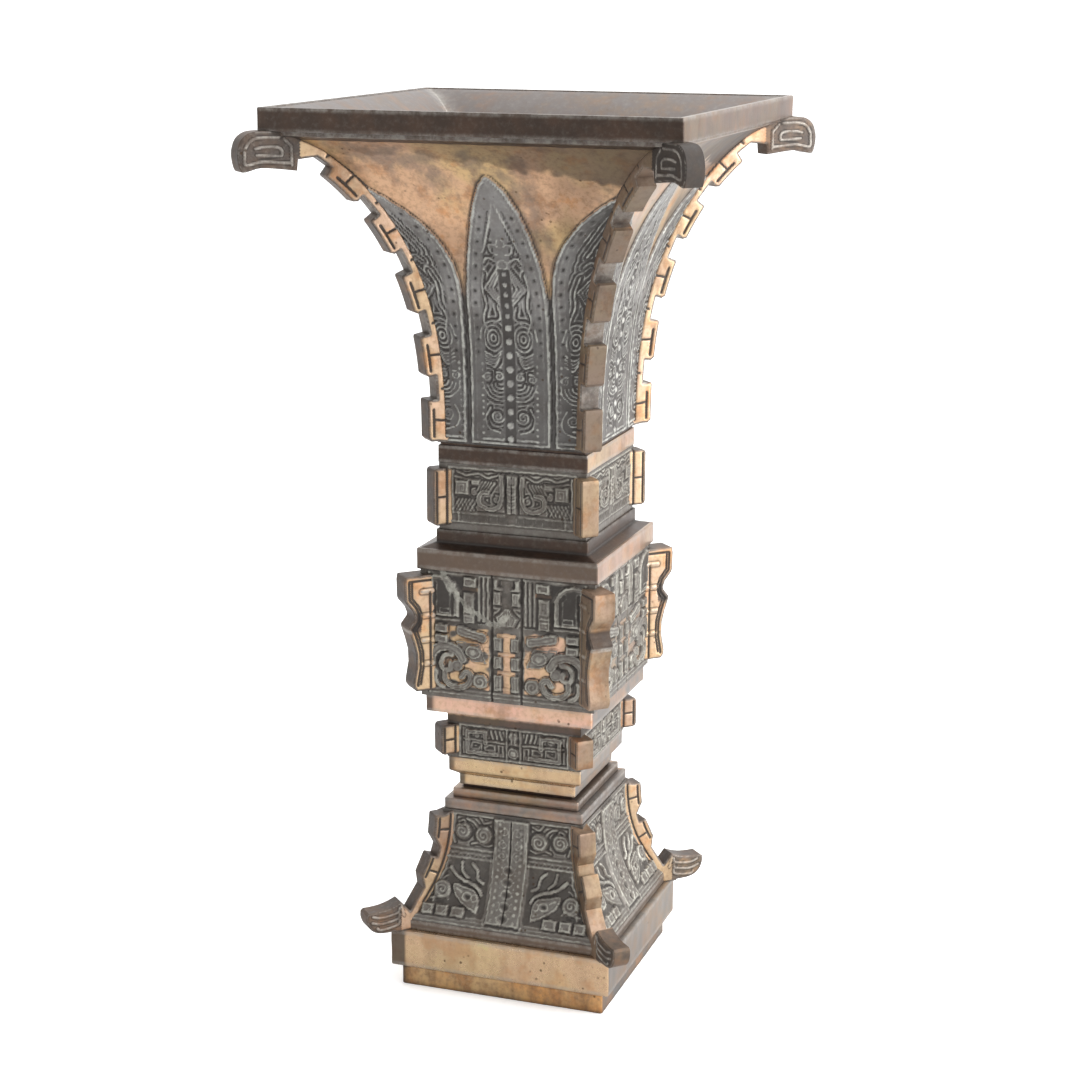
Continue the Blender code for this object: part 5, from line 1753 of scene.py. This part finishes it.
# %% The patina group
def patina_group():
    group = bpy.data.node_groups.new("Old bronze patina", 'ShaderNodeTree')
    name_sockets(group)
    ask = {s.name: s for s in node(group, 'NodeGroupInput').outputs}
    result = node(group, 'NodeGroupOutput')
    place = node(group, 'ShaderNodeTexCoord').outputs['Object']
    crest, rubbed, soil = [node(group, 'ShaderNodeAttribute', attribute_name=mark).outputs['Fac']
                           for mark in ("crest", "rubbed", "soil")]
    mottle = cloud_node(group, place, MOTTLE_SCALE, 5.0, 0.65, shift=3.0)
    fine = cloud_node(group, place, FINE_SCALE, 5.0, 0.7, shift=7.0)
    # bare metal shows where hands wore it and where it stands for a painted sheen, in patches
    patches = math_node(group, 'MULTIPLY', math_node(group, 'SUBTRACT', mottle, 0.5), ask["Patchiness"])
    bare_share = between(group, math_node(group, 'ADD', rubbed, patches), 0.20, 0.78)
    dark = dark_patina(group, ask, mottle, fine)
    colour = blend_node(group, bare_share, dark, bare_metal(group, ask, place, mottle, fine))
    # soil and painted shade in the hollows, dust and painted highlights on the crests, then pits
    hollow = between(group, crest, -0.05, -0.42)
    low_spots = math_node(group, 'MAXIMUM', hollow, between(group, soil, 0.15, 0.95))
    colour = blend_node(group, math_node(group, 'MULTIPLY', low_spots, 0.93), colour, SOIL_AND_SHADE)
    # the crests carry dust and the painted highlights stored with it
    colour = blend_node(group, crest_dust_and_highlight(group, ask, place, crest, fine), colour, ask["Dust"])
    pit = casting_pits(group, ask, place)
    colour = blend_node(group, math_node(group, 'MULTIPLY', pit, 0.8), colour, PIT)
    group.links.new(colour, result.inputs["Colour"])
    # bare metal is smoother, soil and painted shade are rougher
    rough = math_node(group, 'MULTIPLY_ADD', bare_share, -0.14, 0.52)
    rough = math_node(group, 'ADD', rough, math_node(group, 'MULTIPLY_ADD', mottle, 0.22, -0.11))
    rough = math_node(group, 'ADD', rough, math_node(group, 'MULTIPLY', low_spots, 0.2))
    rough = math_node(group, 'SUBTRACT', rough, ask["Gloss"], clamp=True)
    group.links.new(rough, result.inputs["Roughness"])
    # thick soil and painted shade hide the metal
    metal = math_node(group, 'MULTIPLY_ADD', bare_share, 0.12, 0.70)
    thick = math_node(group, 'POWER', low_spots, 2.2)
    metal = math_node(group, 'MULTIPLY', metal, math_node(group, 'SUBTRACT', 1.0, thick), clamp=True)
    group.links.new(metal, result.inputs["Metal"])
    height = math_node(group, 'MULTIPLY_ADD', fine, 0.5, math_node(group, 'MULTIPLY', pit, -1.0))
    height = math_node(group, 'ADD', height, math_node(group, 'MULTIPLY', mottle, 0.6))
    group.links.new(height, result.inputs["Height"])
    return group


patina = patina_group()
print("patina group has", len(patina.nodes), "nodes")


# %% [markdown]
# Each finish places the same group with its own colours and amounts: relief and leaves
# are dark, ledges are brown, and block, step and flanges were polished. The bump is
# shallow: the carving itself is real geometry, and the bump only gives the skin of the
# metal.

# %% Bronze finishes
SKIN_BUMP = 0.12 * MM


def bronze(name, **values):
    """A bronze material; its values are inputs of the patina group."""
    material = bpy.data.materials.new(name)
    material.use_nodes = True
    tree = material.node_tree
    shader = tree.nodes["Principled BSDF"]
    placed = node(tree, 'ShaderNodeGroup', (-500, 0), node_tree=patina)
    for socket, value in values.items():
        full = (*value, 1.0) if isinstance(value, tuple) else value
        placed.inputs[socket.replace("_", " ")].default_value = full
    raised = node(tree, 'ShaderNodeBump', (-200, -250))
    raised.inputs['Strength'].default_value = 0.6
    raised.inputs['Distance'].default_value = SKIN_BUMP
    tree.links.new(placed.outputs["Colour"], shader.inputs["Base Color"])
    tree.links.new(placed.outputs["Roughness"], shader.inputs["Roughness"])
    tree.links.new(placed.outputs["Metal"], shader.inputs["Metallic"])
    tree.links.new(placed.outputs["Height"], raised.inputs["Height"])
    tree.links.new(raised.outputs["Normal"], shader.inputs["Normal"])
    return material


finishes = {
    "relief": bronze("relief_bronze", Patina=(0.160, 0.147, 0.132), Tarnish=(0.105, 0.082, 0.066),
                     Bare_rose=(0.66, 0.42, 0.31), Dust=(0.40, 0.39, 0.34)),
    "leaf": bronze("leaf_bronze", Patina=(0.238, 0.230, 0.223), Tarnish=(0.140, 0.122, 0.112),
                   Bare_gold=(0.62, 0.43, 0.22), Bare_rose=(0.64, 0.40, 0.25),
                   Dust=(0.47, 0.47, 0.43), Tarnish_amount=0.62),
    "polished": bronze("polished_bronze", Bare_gold=(0.62, 0.43, 0.29), Bare_rose=(0.70, 0.43, 0.33),
                       Tarnish_amount=0.4, Dust_amount=0.4, Gloss=0.06),
    "block": bronze("block_bronze", Bare_gold=(0.58, 0.42, 0.24), Bare_rose=(0.54, 0.37, 0.23),
                    Tarnish_amount=0.3, Dust_amount=0.4, Patchiness=0.35, Gloss=0.10),
    "step": bronze("step_bronze", Bare_gold=(0.58, 0.39, 0.20), Bare_rose=(0.62, 0.33, 0.13),
                   Tarnish_amount=0.7, Dust_amount=0.4, Gloss=0.06),
    "brown": bronze("brown_bronze", Patina=(0.052, 0.036, 0.028), Tarnish=(0.085, 0.050, 0.034),
                    Dust_amount=0.45, Pit_amount=0.3, Patchiness=0.25, Gloss=0.12),
    "ledge": bronze("ledge_bronze", Patina=(0.118, 0.086, 0.066), Tarnish=(0.14, 0.095, 0.068),
                    Dust_amount=0.4, Pit_amount=0.4, Patchiness=0.25, Gloss=0.14),
    "flange": bronze("flange_bronze", Bare_gold=(0.54, 0.39, 0.24), Bare_rose=(0.55, 0.38, 0.27),
                     Patina=(0.082, 0.068, 0.060), Dust=(0.40, 0.37, 0.33), Tarnish_amount=0.55,
                     Dust_amount=0.8),
    "inside": bronze("mouth_bronze", Patina=(0.165, 0.148, 0.140), Tarnish=(0.13, 0.105, 0.09),
                     Pit_amount=0.2),
}
wears = {"relief": ["mask_box", "foot_panels", "neck_band", "low_band"],
         "leaf": ["trumpet_lower", "trumpet_upper"],
         "block": ["foot_block", "low_tier"],
         "step": ["foot_step"],
         "polished": ["foot_cap", "under_ledge"],
         "ledge": ["over_ledge", "foot_cove", "collar"],
         "brown": ["waist", "neck_ledge", "plinth", "groove", "rim_band"],
         "flange": ["trumpet_flanges", "neck_flanges", "mask_flanges", "low_flanges", "foot_flanges"],
         "inside": ["mouth_lining", "foot_lining", "well_floor"]}
for finish, names in wears.items():
    for name in names:
        SHOWN[name].data.materials.append(finishes[finish])
print({finish: len(names) for finish, names in wears.items()})

# %% [markdown]
# ## Everything rides on the vase
# The vase is one rigid casting with no joints, so each piece rides on the one body.
# Together they stand for the CAD node.

# %% Hang the pieces on the body
for piece in SHOWN.values():
    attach(piece, "root")
    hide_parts("gu_vase")
print(len(SHOWN), "pieces, triangles in all:",
      sum(len(p.vertices) - 2 for s in SHOWN.values() for p in s.data.polygons))

# %% [markdown]
# ## Studio
# The photograph has a white ground without a horizon. The floor is seen as white by the
# camera alone. To the vase it is a little darker towards the front left, because polished
# metal mirrors what stands before it, and an even white floor would wash it out.

# %% Floor
def floor_sheet():
    """A large floor; how pale the vase sees it depends on the place."""
    mesh = bpy.data.meshes.new("floor")
    size = 6.0
    corners = [(-size, -size, 0), (size, -size, 0), (size, size, 0), (-size, size, 0)]
    mesh.from_pydata(corners, [], [(0, 1, 2, 3)])
    floor = bpy.data.objects.new("floor", mesh)
    bpy.context.scene.collection.objects.link(floor)
    material = bpy.data.materials.new("pale_floor")
    material.use_nodes = True
    tree = material.node_tree
    shader = tree.nodes["Principled BSDF"]
    along = node(tree, 'ShaderNodeVectorMath', operation='DOT_PRODUCT')
    along.inputs[1].default_value = (0.45, 0.89, 0.0)
    tree.links.new(node(tree, 'ShaderNodeTexCoord').outputs['Object'], along.inputs[0])
    bounced = between(tree, along.outputs["Value"], -0.35, 0.55, 0.72, 0.97)
    seen = node(tree, 'ShaderNodeLightPath').outputs['Is Camera Ray']
    pale = math_node(tree, 'MAXIMUM', bounced, seen)
    black, white, glow = (0, 0, 0, 1), (0.97, 0.97, 0.97, 1), (0.30, 0.30, 0.30, 1)
    tree.links.new(blend_node(tree, pale, black, white), shader.inputs["Base Color"])
    tree.links.new(blend_node(tree, seen, black, glow), shader.inputs["Emission Color"])
    shader.inputs["Emission Strength"].default_value = 1.0
    shader.inputs["Roughness"].default_value = 0.9
    mesh.materials.append(material)
    return floor


floor = floor_sheet()
print("floor", round(floor.dimensions.x, 1), "m wide")


# %% [markdown]
# Broad soft light falls from the right, with a weaker fill from the left and one from
# above. The white surround is brighter towards the back right, which gives the right face
# its pale sheen. The camera sees it as plain white.

# %% Lights and surround
VASE_MIDDLE = (0.0, 0.0, 0.2)


def soft_light(name, place, size, power):
    """A rectangular lamp that faces the vase."""
    light = bpy.data.lights.new(name, 'AREA')
    light.shape = 'RECTANGLE'
    light.size, light.size_y = size
    light.energy = power
    lamp = bpy.data.objects.new(name, light)
    bpy.context.scene.collection.objects.link(lamp)
    lamp.location = place
    lamp.rotation_euler = (Vector(VASE_MIDDLE) - Vector(place)).to_track_quat('-Z', 'Y').to_euler()


soft_light("right_box", (1.5, 0.1, 0.7), (1.1, 1.5), 26)
soft_light("left_box", (-1.1, -1.4, 0.8), (0.6, 1.0), 4.5)
soft_light("top_box", (0.3, 0.3, 1.7), (1.4, 1.4), 14)

world = bpy.data.worlds.new("white_surround")
bpy.context.scene.world = world
world.use_nodes = True
sky = world.node_tree
surround = sky.nodes["Background"]
surround.inputs["Color"].default_value = (1, 1, 1, 1)
way = node(sky, 'ShaderNodeTexCoord').outputs['Generated']
toward = node(sky, 'ShaderNodeVectorMath', operation='DOT_PRODUCT')
toward.inputs[1].default_value = (0.50, 0.82, 0.28)
sky.links.new(way, toward.inputs[0])
glow = node(sky, 'ShaderNodeMapRange')
for slot, value in zip((1, 2, 3, 4), (-0.6, 0.6, 0.45, 1.6)):
    glow.inputs[slot].default_value = value
sky.links.new(toward.outputs["Value"], glow.inputs[0])
seen = node(sky, 'ShaderNodeLightPath').outputs['Is Camera Ray']
strength = math_node(sky, 'MAXIMUM', glow.outputs[0], seen)
sky.links.new(strength, surround.inputs["Strength"])
print(len(bpy.data.lights), "soft lights")

# %% [markdown]
# ## Camera
# The camera was fitted to the photograph: its place, its turn and its lens make the
# corners of the rim, the box and the base block fall where they are in the picture.

# %% Camera
back = Vector((0.32166, -0.91561, 0.24121))
right = Vector((0.94347, 0.33145, 0.0))
up = back.cross(right)
view = Matrix((right, up, back)).transposed().to_4x4() @ Matrix.Rotation(math.radians(0.229), 4, 'Z')
view.translation = Vector((0.3493, -0.9912, 0.4743))
lens = bpy.data.cameras.new("camera")
lens.sensor_width = 36.0
lens.lens = 76.17
lens.clip_start = 0.01
camera = bpy.data.objects.new("camera", lens)
bpy.context.scene.collection.objects.link(camera)
camera.matrix_world = view
bpy.context.scene.camera = camera
bpy.context.scene.view_settings.view_transform = 'Standard'
print("camera", [round(v, 3) for v in view.translation])

# %% [markdown]
# The dressed vase has to stay inside the CAD box.
